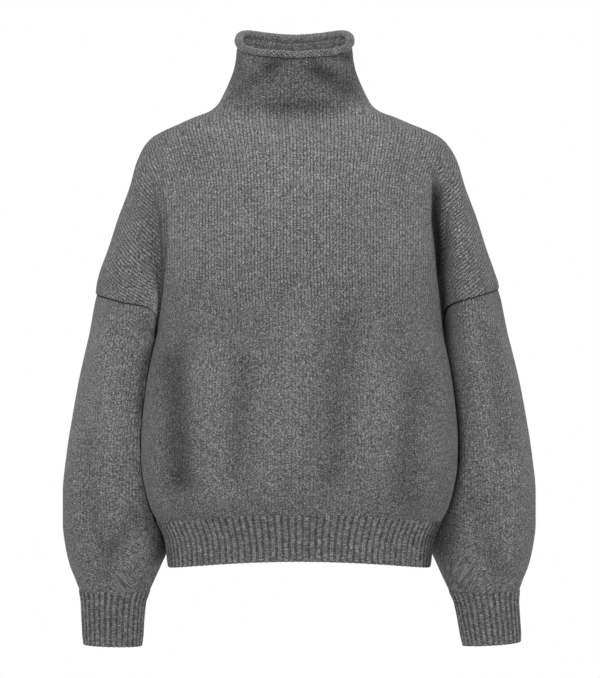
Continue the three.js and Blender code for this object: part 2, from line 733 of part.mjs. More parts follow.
function sweater() {
  const net = new Net();
  for (const face of [FRONT, BACK]) addPanel(net, face);
  for (const side of [LEFT, RIGHT]) addSleeve(net, side);
  addCollar(net);
  const normals = net.normals();
  for (const side of [LEFT, RIGHT]) {
    normals[net.point(skin(side, FRONT, 1, UNDERARM_Z))].set(side, 0, -1);
    normals[net.point(skin(side, FRONT, 2, UNDERARM_Z))].set(-side, 0, -1);
  }
  const cloth = { roughness: 0.95, metalness: 0 };
  const plain = { ...cloth, color: 0x6b6a6d };
  const ribbed = { ...cloth, color: 0x636265 };
  const group = new THREE.Group();
  const add = (name, geometry, finish) => {
    const mesh = new THREE.Mesh(geometry, new THREE.MeshStandardMaterial(finish));
    mesh.name = name;
    group.add(mesh);
  };
  for (const name of ["front", "back", "sleeve_left", "sleeve_right"]) {
    add(name, wallOf(net, name, normals), plain);
  }
  add("collar", collar(net, normals), plain);
  add("hem_rib_front", hemRib(FRONT), ribbed);
  add("hem_rib_back", hemRib(BACK), ribbed);
  add("cuff_left", cuff(LEFT), ribbed);
  add("cuff_right", cuff(RIGHT), ribbed);
  return group;
}

export default sweater();
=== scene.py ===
# %% [markdown]
# # A grey knitted turtleneck sweater
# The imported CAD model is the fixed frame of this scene: every panel, sleeve, rib and the collar sits where
# its solid sits. The scene gives each piece its real cloth: finer folds, knitted stitches that follow the
# cut of the garment, raised ribs, a curled collar edge and grey melange wool.

# %% Load the frame
import math

import bpy
import numpy as np
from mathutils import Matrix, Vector


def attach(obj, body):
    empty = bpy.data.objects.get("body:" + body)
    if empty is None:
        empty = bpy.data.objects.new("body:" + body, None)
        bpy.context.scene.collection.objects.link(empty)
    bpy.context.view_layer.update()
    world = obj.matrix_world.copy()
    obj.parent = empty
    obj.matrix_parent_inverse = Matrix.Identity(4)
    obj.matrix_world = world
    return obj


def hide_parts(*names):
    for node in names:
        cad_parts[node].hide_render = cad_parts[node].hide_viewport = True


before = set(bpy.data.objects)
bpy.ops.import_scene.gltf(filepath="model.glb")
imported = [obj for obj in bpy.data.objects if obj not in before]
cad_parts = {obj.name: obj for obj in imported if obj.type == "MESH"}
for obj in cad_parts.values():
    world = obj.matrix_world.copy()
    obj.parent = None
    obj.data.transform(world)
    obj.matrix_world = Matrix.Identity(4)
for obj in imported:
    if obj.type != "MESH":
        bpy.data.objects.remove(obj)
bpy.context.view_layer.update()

# %% [markdown]
# ## The camera
# The garment was seen straight from the front with a long lens, so its sides are hardly foreshortened.
# A perspective camera far away with a long lens gives the same drawing. Its frame is as high as the picture,
# and the lens follows from how many metres fit in that height at the garment.

# %% Camera
MM = 0.001
CAMERA_PLACE = (0.007, -4.5, -0.2886)
VIEW_HEIGHT = 0.8814  # metres that fit in the picture's height, at the garment
SENSOR_MM = 36.0

camera_data = bpy.data.cameras.new("camera")
camera_data.sensor_width = SENSOR_MM
camera_data.lens = SENSOR_MM * abs(CAMERA_PLACE[1]) / VIEW_HEIGHT
camera = bpy.data.objects.new("camera", camera_data)
camera.location = CAMERA_PLACE
camera.rotation_euler = (math.radians(90), 0, 0)
bpy.context.scene.collection.objects.link(camera)
bpy.context.scene.camera = camera
print("lens", round(camera_data.lens, 1), "mm")

# %% [markdown]
# ## The form of the whole garment
# A sweater is one continuous skin of cloth, and its pieces are cut from that skin. Sculpting the pieces one
# by one would leave steps at the seams, so the skin is a function instead. For each height it gives the
# trunk's outline with an arm on each side, and a valley between them that gets deeper down to the underarm.
# Short tables give the widths and depths. They hold the sizes that the CAD model was drawn with. Only the
# armhole seam near the underarm and the lie of the right arm against the trunk are some millimetres closer
# to the real cloth.

# %% Helpers for numbers
FRONT, BACK, LEFT, RIGHT = -1, 1, 1, -1


def mix(a, b, t):
    return a + (b - a) * t


def smooth(t):
    t = np.clip(t, 0, 1)
    return t * t * (3 - 2 * t)


def ramp(value, start, end):
    """0 up to start and 1 past end, with a smooth rise between them. end may lie under start."""
    return smooth((value - start) / (end - start))


def curves(columns, rows):
    """Smooth curves through a table's rows, by its first column, that never overshoot a row."""
    rows = np.array(sorted(rows), float)
    keys, values = rows[:, 0], rows[:, 1:]
    rises = np.diff(values, axis=0) / np.diff(keys)[:, None]
    before, after = rises[:-1], rises[1:]
    same_way = before * after > 0
    slopes = np.vstack([rises[:1], np.zeros_like(before), rises[-1:]])
    slopes[1:-1][same_way] = (2 * before * after)[same_way] / (before + after)[same_way]

    def at(key):
        key = np.clip(np.asarray(key, float), keys[0], keys[-1])
        i = np.clip(np.searchsorted(keys, key, side="right") - 1, 0, len(keys) - 2)
        span = (keys[i + 1] - keys[i])[..., None]
        t = (key - keys[i])[..., None] / span
        found = values[i] * (1 + 2 * t) * (1 - t) ** 2 + slopes[i] * span * t * (1 - t) ** 2
        found = found + values[i + 1] * t**2 * (3 - 2 * t) + slopes[i + 1] * span * t**2 * (t - 1)
        return {name: found[..., k] for k, name in enumerate(columns[1:])}

    return at


print("helpers ready: mix, smooth, ramp, curves")

# %% Tables of the form, in millimetres
UNDERARM_Z = -280
CUFF_TOP_Z, CUFF_END_Z = -618, -689
HEM_RIB_HEIGHT = 58
FULLNESS = 2.2  # exponent of the slices: 2 is an ellipse, more is boxier
SIDE_SEAM_LEAN = 10  # degrees that the side seam lies behind the widest line, at the underarm
SIDE_SEAM_LEAN_FROM = -90  # it starts to lean at this height
WIDEST_Y = -15
SLEEVE_CLEARANCE = 1.2
RIB_RISE = 1.6

# The collar and the trunk: half-width to the valley beside the arm or to the side seam, reach to both sides.
trunk = curves(["z", "edge", "front", "back"], [
    (116, 53, 66, 50), (77, 54, 70, 54), (45, 60, 73, 59), (16, 71, 72, 66), (7, 79, 71, 69),
    (-1, 97, 71.5, 73), (-10, 116, 77, 78), (-18, 134, 83, 82), (-26, 148, 88, 86), (-45, 164, 97, 93),
    (-60, 170, 102, 97), (-90, 174, 110, 103), (-130, 173, 117, 108), (-170, 177, 122, 111),
    (-212, 181, 125, 112), (-280, 187, 128, 112), (-316, 194, 128, 112.5), (-363, 201, 128, 113),
    (-420, 205.5, 128, 113), (-451, 205, 127, 113), (-478, 201, 126, 112), (-507, 193, 122, 110),
    (-528, 182, 116, 107), (-546, 174, 112, 104), (-564, 171, 110.5, 103), (-592, 169.5, 110, 102.5),
])

# The outer line over the collar, the shoulder and the upper arm, and the width of the valley's floor.
shoulder = curves(["z", "outer", "ridge_y", "valley"], [
    (116, 75, -9, 8), (92, 75, -8, 8), (77, 76, -7, 8), (61, 79, -5, 8), (45, 85, -3, 9), (30, 92, -1, 10),
    (16, 100, 0, 11), (7, 111, 2, 12), (-1, 132, 4, 15), (-10, 153, 6, 17), (-18, 172, 8, 19),
    (-26, 187, 9, 21), (-34, 195.5, 10, 22), (-45, 203, 11, 23), (-60, 210, 13, 24), (-90, 219, 16, 24),
    (-130, 234, 19, 20), (-170, 247, 22, 15), (-212, 261, 24, 9), (-228, 263.5, 25, 7.5),
    (-280, 273, 26, 4.5),
])
upper_arm = curves(["z", "front", "back"], [(-60, 70, 88), (-150, 62, 94), (-228, 52, 96), (-280, 48, 95)])

# The sleeve below the underarm, from its inner line to its outer line.
sleeve = curves(["z", "inner", "outer", "inner_y", "outer_y", "front", "back"], [
    (-280, 188.9, 273, 10.9, 26, 48, 95), (-300, 185, 278, 20, 28, 46, 96),
    (-340, 184, 287.5, 32, 30, 42, 98), (-390, 184, 297, 42, 33, 38, 100),
    (-440, 176, 305, 50, 36, 34, 103), (-490, 166, 310, 57, 38, 31, 105),
    (-530, 162, 310, 57, 38, 29, 104), (-560, 170, 306.5, 50, 37, 26, 100),
    (-585, 181, 300.5, 44, 36, 20, 93), (-605, 190, 292.5, 38, 34, 11, 82),
    (-620, 197, 287.5, 34, 33, 4, 71), (-634, 202.5, 286, 33, 33, 2, 68),
    (-690, 210, 286.5, 33, 33, 1, 67),
])

# The garment hangs a little out of true.
sway = curves(["z", "x"], [
    (116, 0), (0, 0), (-26, 2), (-60, 3), (-200, 3), (-240, 4.5), (-400, 6), (-600, 6), (-690, 10),
])

# Heights of the collar's free edge and of the neckline, round from the front (0) to the back (2).
collar_lines = curves(["quarters", "rim", "neckline"], [
    (0, 75, -4), (0.5, 82, 6), (1, 98, 18), (1.5, 110, 16), (2, 106, 14),
])

# The armhole seam, from the underarm (0) over the arm to its outer line (1).
armhole = curves(["arm", "z"], [
    (0, UNDERARM_Z), (0.05, -263), (0.1, -257), (0.2, -250), (0.45, -241.5), (0.7, -233), (1, -226),
])
ARMHOLE_RAISE = {LEFT: 5, RIGHT: -2}
CUFF_TILT = {LEFT: 6, RIGHT: 2}
HEM_SIDE_Z = -582
HEM_RISE = {FRONT: 12, BACK: 4}
VALLEY = {  # where the valley beside each arm starts, and how soon it deepens
    FRONT: {"start_z": -70, "power": {LEFT: 0.72, RIGHT: 3.0}},
    BACK: {"start_z": -95, "power": {LEFT: 1.0, RIGHT: 1.0}},
}
print("chest half-width", float(trunk(UNDERARM_Z)["edge"]), "mm, sleeve outer line",
      float(sleeve(-490)["outer"]), "mm")

# %% [markdown]
# ## Folds
# A thick knit hangs in long soft folds, not sharp ones. A cloth simulation would settle them its own way, so
# they are listed one by one, as the cloth shows them: troughs and ridges along short lines, each with a depth
# and a width. The large ones are in the CAD model too. The finer ones are added here.

# %% Folds
# Troughs have a depth above 0 and ridges one below 0.
LARGE_FOLDS = [  # face, x1, z1, x2, z2, depth, width
    (FRONT, -88, 14, -30, 60, 5, 11), (FRONT, 98, 16, 30, 56, 6.5, 12), (FRONT, -26, 0, 30, 0, 4, 12),
    (BACK, -70, 18, -25, 50, 4, 11), (BACK, 76, 20, 22, 48, 4, 11),
    (FRONT, -166, -320, -156, -470, 8, 16), (FRONT, -122, -310, -104, -490, -6.5, 19),
    (FRONT, -70, -320, -84, -460, 5, 15), (FRONT, 6, -260, -42, -470, -5.5, 22),
    (FRONT, 62, -270, 38, -460, 5, 19), (FRONT, 150, -340, 132, -490, 5.5, 18),
    (FRONT, 104, -330, 92, -470, -4, 18), (BACK, -140, -260, -118, -480, 4.5, 20),
    (BACK, -60, -200, -40, -470, -4, 26), (BACK, 20, -280, 44, -490, 3.5, 22),
    (BACK, 128, -250, 112, -470, 4.5, 20), (BACK, 74, -240, 84, -460, -3.5, 18),
    (FRONT, -256, -300, -236, -440, -4.5, 15), (FRONT, -212, -520, -262, -585, 5, 12),
    (FRONT, -282, -430, -262, -560, 4.5, 14), (FRONT, 250, -290, 268, -430, 4.5, 14),
    (FRONT, 226, -500, 264, -590, 4.5, 12), (FRONT, 288, -460, 276, -575, -4, 13),
    (BACK, -250, -320, -262, -520, 4, 16), (BACK, -214, -500, -252, -592, 4.5, 12),
    (BACK, 252, -310, 268, -500, 4, 16), (BACK, 222, -510, 258, -590, 4.5, 12),
]
FINE_FOLDS = [
    (FRONT, -66, 78, -58, 60, -4, 13), (FRONT, -56, 24, -34, 18, -3, 13), (FRONT, 52, 64, 60, 58, -3, 9),
    (FRONT, 52, 78, 66, 74, 4, 8), (FRONT, -30, 60, 10, 76, 3, 10), (FRONT, 12, 58, 40, 48, 2.5, 9),
    (FRONT, -10, 6, 44, 6, 2.5, 8), (FRONT, -148, -300, -143, -470, 5, 13),
    (FRONT, -130, -60, -60, -110, 1.2, 14), (FRONT, 132, -60, 70, -120, 1.2, 14),
    (FRONT, -150, -500, -120, -540, 1.5, 9), (FRONT, 150, -500, 128, -542, 1.5, 9),
    (FRONT, -205, -330, -232, -470, 1.6, 9), (FRONT, 214, -330, 236, -480, 1.6, 9),
    (FRONT, -236, -556, -272, -604, 2.0, 8), (FRONT, 232, -560, 276, -604, 2.0, 8),
    (BACK, -100, -90, -40, -150, 1.5, 16), (BACK, 100, -90, 36, -150, 1.5, 16),
]


def fold_depth(face, x, z):
    """How far the cloth is pressed in at (x, z), in millimetres."""
    depth = np.zeros(np.broadcast(x, z).shape)
    for fold_face, x1, z1, x2, z2, deep, width in LARGE_FOLDS + FINE_FOLDS:
        if fold_face != face:
            continue
        dx, dz = x2 - x1, z2 - z1
        t = np.clip(((x - x1) * dx + (z - z1) * dz) / (dx * dx + dz * dz), 0, 1)
        away = np.hypot(x - x1 - t * dx, z - z1 - t * dz)
        depth += deep * np.exp(-((away / width) ** 2))
    return depth


print(len(LARGE_FOLDS), "large folds and", len(FINE_FOLDS), "finer ones")

# %% [markdown]
# ## The skin as a function
# along runs from 0 in the middle of the front or back to 1 at the valley beside the arm, to 2 across the
# valley's floor and to 3 on the arm's outer line. Every piece below samples this one function, so seams meet.

# %% The skin
ARM_CREST, ARM_CREST_X = 0.45, 0.42  # where an arm's crest lies, as shares of its outline and of its width
FLOOR_DIP = 0.35  # the valley's floor is round, this share of its width deep
DIP_RISE = 40  # it gets round over this height
MID_FLOOR = 1.5  # under the arm, the trunk and the sleeve part at this value of along
CLEARANCE_RISE = 20  # the sleeve gets clear of the trunk over this height
NEAR_RIB = 12  # it makes room for the rib from this far above it
FREE_UNDER_HEM, FREE_AT_UNDERARM = 10, 2  # the trunk doesn't push the sleeve beyond these heights


def to_power(v):
    return np.maximum(v, 0) ** (2 / FULLNESS)


def bulge(share):
    return np.maximum(0, 1 - np.abs(share) ** FULLNESS) ** (1 / FULLNESS)


def trunk_point(face, angle, z):
    """The trunk's own outline at angle degrees round from the middle of the front or back."""
    t = trunk(z)
    a = np.radians(angle)
    ahead = np.where(angle <= 90, face, -face)
    reach = np.where(ahead == FRONT, -(t["front"] + WIDEST_Y), t["back"] - WIDEST_Y)
    from_middle = np.where(angle <= 90, a, np.pi - a)
    return t["edge"] * to_power(np.sin(a)), WIDEST_Y + reach * to_power(np.cos(from_middle))


def valley_angle(face, z):
    return 90 - face * SIDE_SEAM_LEAN * ramp(z, SIDE_SEAM_LEAN_FROM, UNDERARM_Z)


# The left arm falls away towards the trunk and the right one lies close against it, less so above the cuff.
ARM_FALL, ARM_FALL_END = {LEFT: 0.7, RIGHT: -0.42}, 80
INNER_FORWARD = {LEFT: 0, RIGHT: 14}  # the sleeve's inner line lies this far forward, under the arm
INNER_FORWARD_RISE = 25  # it gets there over this height
INNER_FORWARD_END = (-400, -320)  # between these heights it comes back
DRAWN_IN = {LEFT: 0, RIGHT: 12}  # the trunk is drawn in beside the right arm, round one height
DRAWN_IN_Z, DRAWN_IN_HEIGHT, DRAWN_IN_REACH = -190, 85, 45
FOLDS_OFF_RIDGE, FOLDS_OFF_SIDE = 0.3, 0.25  # folds fade out over these shares of a quarter
FOLDS_OFF_HEIGHT = 100  # how far over the underarm they fade at the valley too


def drawn_in(side, x, z):
    up, out = (z - DRAWN_IN_Z) / DRAWN_IN_HEIGHT, (x - trunk(z)["edge"]) / DRAWN_IN_REACH
    return DRAWN_IN[side] * np.exp(-(up**2) - out**2)


def arm_outline(side, share, inner, inner_y, outer, outer_y, crest_y, z):
    """A quarter of an arm's outline: share 0 is its inner line and 1 its outer line."""
    crest_x = mix(inner, outer, ARM_CREST_X)
    a = np.minimum(share / ARM_CREST, 1) * (math.pi / 2)
    b = np.clip((share - ARM_CREST) / (1 - ARM_CREST), 0, 1) * (math.pi / 2)
    near = share <= ARM_CREST
    over_cuff = ramp(z, CUFF_TOP_Z, CUFF_TOP_Z + ARM_FALL_END)
    fall = ARM_FALL[side] * over_cuff
    in_x = np.maximum(np.cos(a), 0) ** (1 + min(ARM_FALL[side], 0) * over_cuff)
    x = np.where(near, crest_x - (crest_x - inner) * in_x, crest_x + (outer - crest_x) * np.sin(b))
    rise = np.sin(a) ** (1 + fall)
    y = np.where(near, inner_y + (crest_y - inner_y) * rise, outer_y + (crest_y - outer_y) * np.cos(b))
    return x, y


def yoke_point(side, face, along, z):
    """The slice above the underarm, where the arm still hangs together with the trunk."""
    s, t, reach = shoulder(z), trunk(z), upper_arm(z)
    outer, valley = s["outer"], s["valley"]
    angle = valley_angle(face, z)
    end_x, end_y = trunk_point(face, angle, z)
    start_z, power = VALLEY[face]["start_z"], VALLEY[face]["power"][side]
    depth = np.clip((z - start_z) / (UNDERARM_Z - start_z), 0, 1) ** power
    on_trunk = trunk_point(face, np.minimum(along, 1) * angle, z)
    on_floor = np.clip(along - 1, 0, 1)
    dip = FLOOR_DIP * valley * np.sin(math.pi * on_floor) * ramp(z, UNDERARM_Z, UNDERARM_Z + DIP_RISE)
    share = np.clip(along - 2, 0, 1)
    crest_y = -reach["front"] if face == FRONT else reach["back"]
    arm_x, arm_y = arm_outline(side, share, end_x + valley, end_y, outer, s["ridge_y"], crest_y, z)
    first = np.arcsin(np.clip((end_x + valley) / outer, -1, 1))
    arm_x = mix(outer * np.sin(mix(first, math.pi / 2, share)), arm_x, smooth(2 * depth))
    x = np.where(along <= 1, on_trunk[0], np.where(along < 2, end_x + valley * on_floor, arm_x))
    y = np.where(along <= 1, on_trunk[1], np.where(along < 2, end_y - face * dip, arm_y))
    ahead = -(t["front"] + s["ridge_y"]) if face == FRONT else t["back"] - s["ridge_y"]
    return x, mix(s["ridge_y"] + ahead * bulge(x / outer), y, depth)


def sleeve_point(side, face, share, z):
    """The sleeve's own slice below the underarm, held just clear of the trunk."""
    s, t = sleeve(z), trunk(z)
    crest_y = -s["front"] if face == FRONT else s["back"]
    forward = ramp(z, UNDERARM_Z, UNDERARM_Z - INNER_FORWARD_RISE) * ramp(z, *INNER_FORWARD_END)
    inner_y = s["inner_y"] - INNER_FORWARD[side] * forward
    x, y = arm_outline(side, share, s["inner"], inner_y, s["outer"], s["outer_y"], crest_y, z)
    reach = np.where(y < WIDEST_Y, t["front"] + WIDEST_Y, t["back"] - WIDEST_Y)
    rib_top = HEM_SIDE_Z + HEM_RIB_HEIGHT
    clear = SLEEVE_CLEARANCE * ramp(z, UNDERARM_Z, UNDERARM_Z - CLEARANCE_RISE)
    clear = clear + RIB_RISE * ramp(z, rib_top + NEAR_RIB, rib_top)
    beside = t["edge"] * bulge((y - WIDEST_Y) / reach) + clear
    free = (z < HEM_SIDE_Z - FREE_UNDER_HEM) | (z > UNDERARM_Z - FREE_AT_UNDERARM)
    return np.where(free, x, np.maximum(x, beside)), y


def skin(side, face, along, z):
    """Points of the garment's outer face, in millimetres."""
    along, z = np.broadcast_arrays(np.asarray(along, float), np.asarray(z, float))
    x, y = yoke_point(side, face, along, z)
    trunk_x, trunk_y = trunk_point(face, np.minimum(along, 1) * valley_angle(face, z), z)
    sleeve_x, sleeve_y = sleeve_point(side, face, np.clip(along - 2, 0, 1), z)
    low = z <= UNDERARM_Z
    x = np.where(low, np.where(along <= MID_FLOOR, trunk_x, sleeve_x), x)
    y = np.where(low, np.where(along <= MID_FLOOR, trunk_y, sleeve_y), y)
    x = x - drawn_in(side, x, z)
    from_ridge = np.minimum(1, 3 - along)
    from_side = np.where(along <= 1, 1 - along, np.maximum(0, along - 2))
    at_side = mix(1, ramp(from_side, 0, FOLDS_OFF_SIDE), ramp(z, UNDERARM_Z + FOLDS_OFF_HEIGHT, UNDERARM_Z))
    inward = fold_depth(face, side * x, z) * ramp(from_ridge, 0, FOLDS_OFF_RIDGE) * at_side
    return np.stack([side * x + sway(z)["x"], y - face * inward, z], axis=-1)


check = skin(LEFT, FRONT, [0, 1, 3], [-200, -280, -226])
print("three points of the skin, in mm:", check.round(1).tolist())

# %% [markdown]
# ## Shade in the hollows
# Thick wool swallows light where it folds in on itself: in the valleys beside the arms, in the troughs of
# folds and under the collar's curl. The lamps find only part of that shade, so the rest is painted shade:
# a number for each point that darkens the wool's colour, and lightens it on the ridges of folds. Rules work
# it out from how far a point lies from the trunk's edge and how deep its fold is, so it follows the form. The
# shoulders, the belly and the lower trunk get painted shade too. The wool's shader reads it as an attribute.

# %% Shade of each point
# Each shade here is painted shade: the share of its brightness that a point's colour loses. Below 0 it is
# painted light.
SHADE_LEAST, SHADE_MOST = -1.4, 0.95
TROUGH_SHADE = 0.036  # for each millimetre of a fold's depth
RIDGE_SHARE = 0.4  # a ridge is lighter by this much of what a trough of the same height would be darker
NECK_SHADE = 0.44  # the front of the collar lies in the shade of its own curl
NECK_START, NECK_FULL = (-12, 18), (20, 60)  # heights where it starts, and where it reaches the sides
NECK_SIDES = (96, 56)  # how far from the middle it fades, lower down
# Painted shade on the tops of the shoulders, which face up into the key light.
SHOULDER_SHADE, SHOULDER_X, SHOULDER_TO = 0.08, (90, 150), (-150, -70)
WING_SHADE, WING_REACH, WING_RISE = 0.05, 20, 40  # the arm over the armhole seam
BELLY_SHADE, BELLY_FROM, BELLY_INSET = 0.12, (-170, -260), 8  # the trunk's lower half faces down a little
LOW_SHADE = [(-20, -300, 0.165), (-400, -560, 0.1)]  # from one height to another, and how much
EDGE_RAMP = (-1.5, 0.5)  # the valley's shade starts over these millimetres at the trunk's edge
# The rows below were fitted to how bright the real arm looks beside the trunk, seen from the front.
# Below 0 they brighten a place that the lamps leave too dark.
VALLEY_SHADE = {  # how dark the arm is beside the trunk, and how far out that reaches, by height
    LEFT: curves(["z", "dark", "reach"], [
        (-60, 0, 10), (-85, 0.35, 12), (-105, 0.85, 15), (-150, 0.93, 16), (-185, 0.9, 13), (-215, 0.6, 9),
        (-245, 0.3, 8), (-300, 0.15, 8), (-440, 0.4, 9), (-480, 0.1, 9), (-560, 0, 10),
    ]),
    RIGHT: curves(["z", "dark", "reach"], [
        (-75, 0, 30), (-110, 0.22, 32), (-150, 0.36, 32), (-190, 0.34, 28), (-215, 0, 16), (-242, -1.3, 12),
        (-268, -1.5, 9), (-285, -0.6, 7), (-310, 0.4, 12), (-370, 0.4, 9), (-430, 0, 8), (-490, 0.25, 10),
        (-550, 0.4, 20), (-600, 0.2, 20),
    ]),
}


def valley_shade(side, x, z):
    """The painted shade on the arm beside the trunk, strongest at the trunk's edge."""
    edge = trunk(z)["edge"]
    at = VALLEY_SHADE[side](z)
    past = side * x - edge + drawn_in(side, edge, z)
    fading = np.exp(-((np.maximum(past, 0) / at["reach"]) ** 3))
    return at["dark"] * fading * ramp(past, *EDGE_RAMP) * (z > HEM_SIDE_Z)


def painted_shade_of(points):
    """The painted shade of each point of the skin. points are in millimetres."""
    z = points[:, 2]
    x = points[:, 0] - sway(z)["x"]
    front = points[:, 1] < WIDEST_Y
    depth = np.where(front, fold_depth(FRONT, x, z), fold_depth(BACK, x, z))
    shade = TROUGH_SHADE * np.where(depth > 0, depth, RIDGE_SHARE * depth)
    shade += SHOULDER_SHADE * ramp(np.abs(x), *SHOULDER_X) * ramp(z, *SHOULDER_TO)
    round_neck = mix(ramp(np.abs(x), *NECK_SIDES), 1, ramp(z, *NECK_FULL))
    shade += NECK_SHADE * ramp(z, *NECK_START) * round_neck * front
    shade += valley_shade(LEFT, x, z) + valley_shade(RIGHT, x, z)
    beside = np.abs(x) - trunk(z)["edge"]
    shade += BELLY_SHADE * ramp(z, *BELLY_FROM) * ramp(beside, 0, -BELLY_INSET)
    shade += WING_SHADE * ramp(beside, 0, WING_REACH) * ramp(z, UNDERARM_Z, UNDERARM_Z + WING_RISE)
    for start, end, amount in LOW_SHADE:
        shade += amount * ramp(z, start, end)
    return shade


spots = np.array([[0, -125, -350], [185, -20, -150]], float)
print("shade on the belly and in the left valley:", painted_shade_of(spots).round(2).tolist())

# %% [markdown]
# ## From grids of points to walls of cloth
# A piece of cloth has two faces and an edge. Solidify could thicken a single sheet, but the inside of a knit
# shows another stitch than the outside. So the wall is made by hand: the same grid moved in by the cloth's
# thickness, joined by a rim. Each corner keeps its stitch coordinates, and the inside is marked as purl.

# %% Build walls
WALL = 2.2
# The inside of a wall gets at least this much painted shade.
INSIDE_LEAST_SHADE = 0.25


def grid_faces(rows, columns, wrap=False, first=0, stride=None):
    """Quads of a grid of points, in rows from the top down that run anticlockwise seen from above."""
    stride = columns if stride is None else stride
    r, c = np.meshgrid(np.arange(rows - 1), np.arange(columns if wrap else columns - 1), indexing="ij")
    r, c = r.ravel(), c.ravel()
    n = (c + 1) % columns if wrap else c + 1
    return first + np.stack([r * stride + c, (r + 1) * stride + c, (r + 1) * stride + n, r * stride + n], 1)


def corner_normals(points, quads):
    """The outward direction at each point."""
    a, b, c, d = (points[quads[:, k]] for k in range(4))
    facing = np.cross(c - a, d - b)
    total = np.zeros_like(points)
    for k in range(4):
        np.add.at(total, quads[:, k], facing)
    return total / np.maximum(np.linalg.norm(total, axis=1, keepdims=True), 1e-9)


def rim_edges(quads):
    """The directed edges that only one quad uses."""
    edges = np.concatenate([quads[:, [k, (k + 1) % 4]] for k in range(4)])
    size = int(edges.max()) + 1
    keys, back = edges[:, 0] * size + edges[:, 1], edges[:, 1] * size + edges[:, 0]
    return edges[~np.isin(keys, back)]


def add_painted_shade(mesh, painted_shade):
    mesh.attributes.new("painted_shade", "FLOAT", "POINT").data.foreach_set("value", painted_shade.astype(np.float32))


def mesh_object(name, points, quads, corner_uv, purl, painted_shade, material, sharp_angle=50):
    """A smooth-shaded mesh with stitch coordinates. points are in millimetres, each with its painted shade.
    """
    mesh = bpy.data.meshes.new(name)
    mesh.from_pydata((points * MM).tolist(), [], quads.tolist())
    uv = mesh.uv_layers.new(name="stitches")
    uv.data.foreach_set("uv", corner_uv.astype(np.float32).ravel())
    mark = mesh.attributes.new("purl", "FLOAT", "CORNER")
    mark.data.foreach_set("value", purl.astype(np.float32).ravel())
    add_painted_shade(mesh, np.clip(painted_shade + painted_shade_of(points), SHADE_LEAST, SHADE_MOST))
    mesh.shade_smooth()
    mesh.set_sharp_from_angle(angle=math.radians(sharp_angle))
    mesh.materials.append(material)
    thing = bpy.data.objects.new(name, mesh)
    bpy.context.scene.collection.objects.link(thing)
    return thing


def wall_object(name, points, quads, uv, uv_quads, sink, painted_shade, material):
    """A wall of cloth behind a grid of points. sink moves each point inwards in mm. Painted shade darkens it.
    """
    normals = corner_normals(points, quads)
    outer = points - normals * sink[:, None]
    inner = points - normals * WALL
    count = len(points)
    rim = rim_edges(quads)
    rim_quads = np.stack([rim[:, 1], rim[:, 0], rim[:, 0] + count, rim[:, 1] + count], 1)
    every = np.concatenate([quads, quads[:, ::-1] + count, rim_quads])
    at = uv[uv_quads]
    place = np.zeros((count, 2))
    place[quads.ravel()] = at.reshape(-1, 2)
    rim_uv = place[rim[:, [1, 0, 0, 1]]]
    corner_uv = np.concatenate([at, at[:, ::-1], rim_uv])
    purl = np.concatenate([np.zeros(at.shape[:2]), np.ones(at.shape[:2]), np.ones(rim_uv.shape[:2])])
    shade = np.concatenate([painted_shade, np.maximum(painted_shade, INSIDE_LEAST_SHADE)])
    return mesh_object(name, np.concatenate([outer, inner]), every, corner_uv, purl, shade, material)


print("walls are", WALL, "mm thick")

# %% [markdown]
# ## Where the stitches run
# On a knitted panel the columns of stitches, the wales, run straight down the flat piece, and they bend only
# because the piece is cut and folded over the body. A box projection would let the stitches slide over the
# form. So each point gets its place on the flat piece, counted in stitches: across from the middle of the
# panel, and down from the collar's edge. On the arm the stitches turn with the cloth, which hangs aslant.

# %% Columns and stitch coordinates
WALE, COURSE = 4.35, 3.2  # one stitch is this wide and this high
TRUNK_STEPS, FLOOR_STEPS, ARM_STEPS = 58, 5, 30
QUARTER = np.concatenate([
    np.linspace(0, 1, TRUNK_STEPS + 1),
    1 + np.arange(1, FLOOR_STEPS) / FLOOR_STEPS,
    np.linspace(2, 3, ARM_STEPS + 1),
])
ARM_FIRST = TRUNK_STEPS + FLOOR_STEPS  # the arm's first column in a quarter
NECK_SHARES = (0.5, 0.06, 0.44)  # how much of a quarter of the neck the trunk, the valley and the arm take
RAISE_WHOLE = 0.125  # the armhole's raise is whole at this share of the arm's outline


def quarters(face, along):
    """A column's place round the neck, from 0 in front to 2 at the back."""
    turn = sum(share * np.clip(along - k, 0, 1) for k, share in enumerate(NECK_SHARES))
    return turn if face == FRONT else 2 - turn


def neckline_z(face, along):
    return collar_lines(quarters(face, along))["neckline"]


def rim_z(face, along):
    return collar_lines(quarters(face, along))["rim"]


def lowest_z(side, along):
    on_arm = np.clip(along - 2, 0, 1)
    raised = armhole(on_arm)["z"] + ARMHOLE_RAISE[side] * ramp(on_arm, 0, RAISE_WHOLE)
    return np.where(along < 2, UNDERARM_Z, raised)


def even_heights(side, face, along, top, bottom, shares):
    """Heights down each column, at those shares of its length over the cloth. One row of the result each."""
    t = np.linspace(0, 1, 161)[:, None]
    z = mix(top, bottom, t)
    spots = skin(side, face, along[None, :], z)
    steps = np.linalg.norm(np.diff(spots, axis=0), axis=2)
    lengths = np.vstack([np.zeros(len(along)), np.cumsum(steps, axis=0)])
    heights = [np.interp(shares * far[-1], far, column) for far, column in zip(lengths.T, z.T)]
    return np.stack(heights, 1)


def slice_lengths(side, face, along, z, start=0):
    """How far each point is from column start, measured level over the cloth. z has a row per height."""
    levels = np.linspace(z.min(), z.max(), 140)
    spots = skin(side, face, along[None, :], levels[:, None])
    steps = np.linalg.norm(np.diff(spots[..., :2], axis=1), axis=2)
    far = np.hstack([np.zeros((len(levels), 1)), np.cumsum(steps, axis=1)])
    far = far - far[:, start : start + 1]
    return np.stack([np.interp(z[:, c], levels, far[:, c]) for c in range(len(along))], 1)


# Towards the shoulder the wales lean inwards going down, and on the arm they turn with it.
LEAN, LEAN_X, LEAN_POWER, LEAN_FROM, LEAN_TO = 24, 135, 1.6, 15, -115
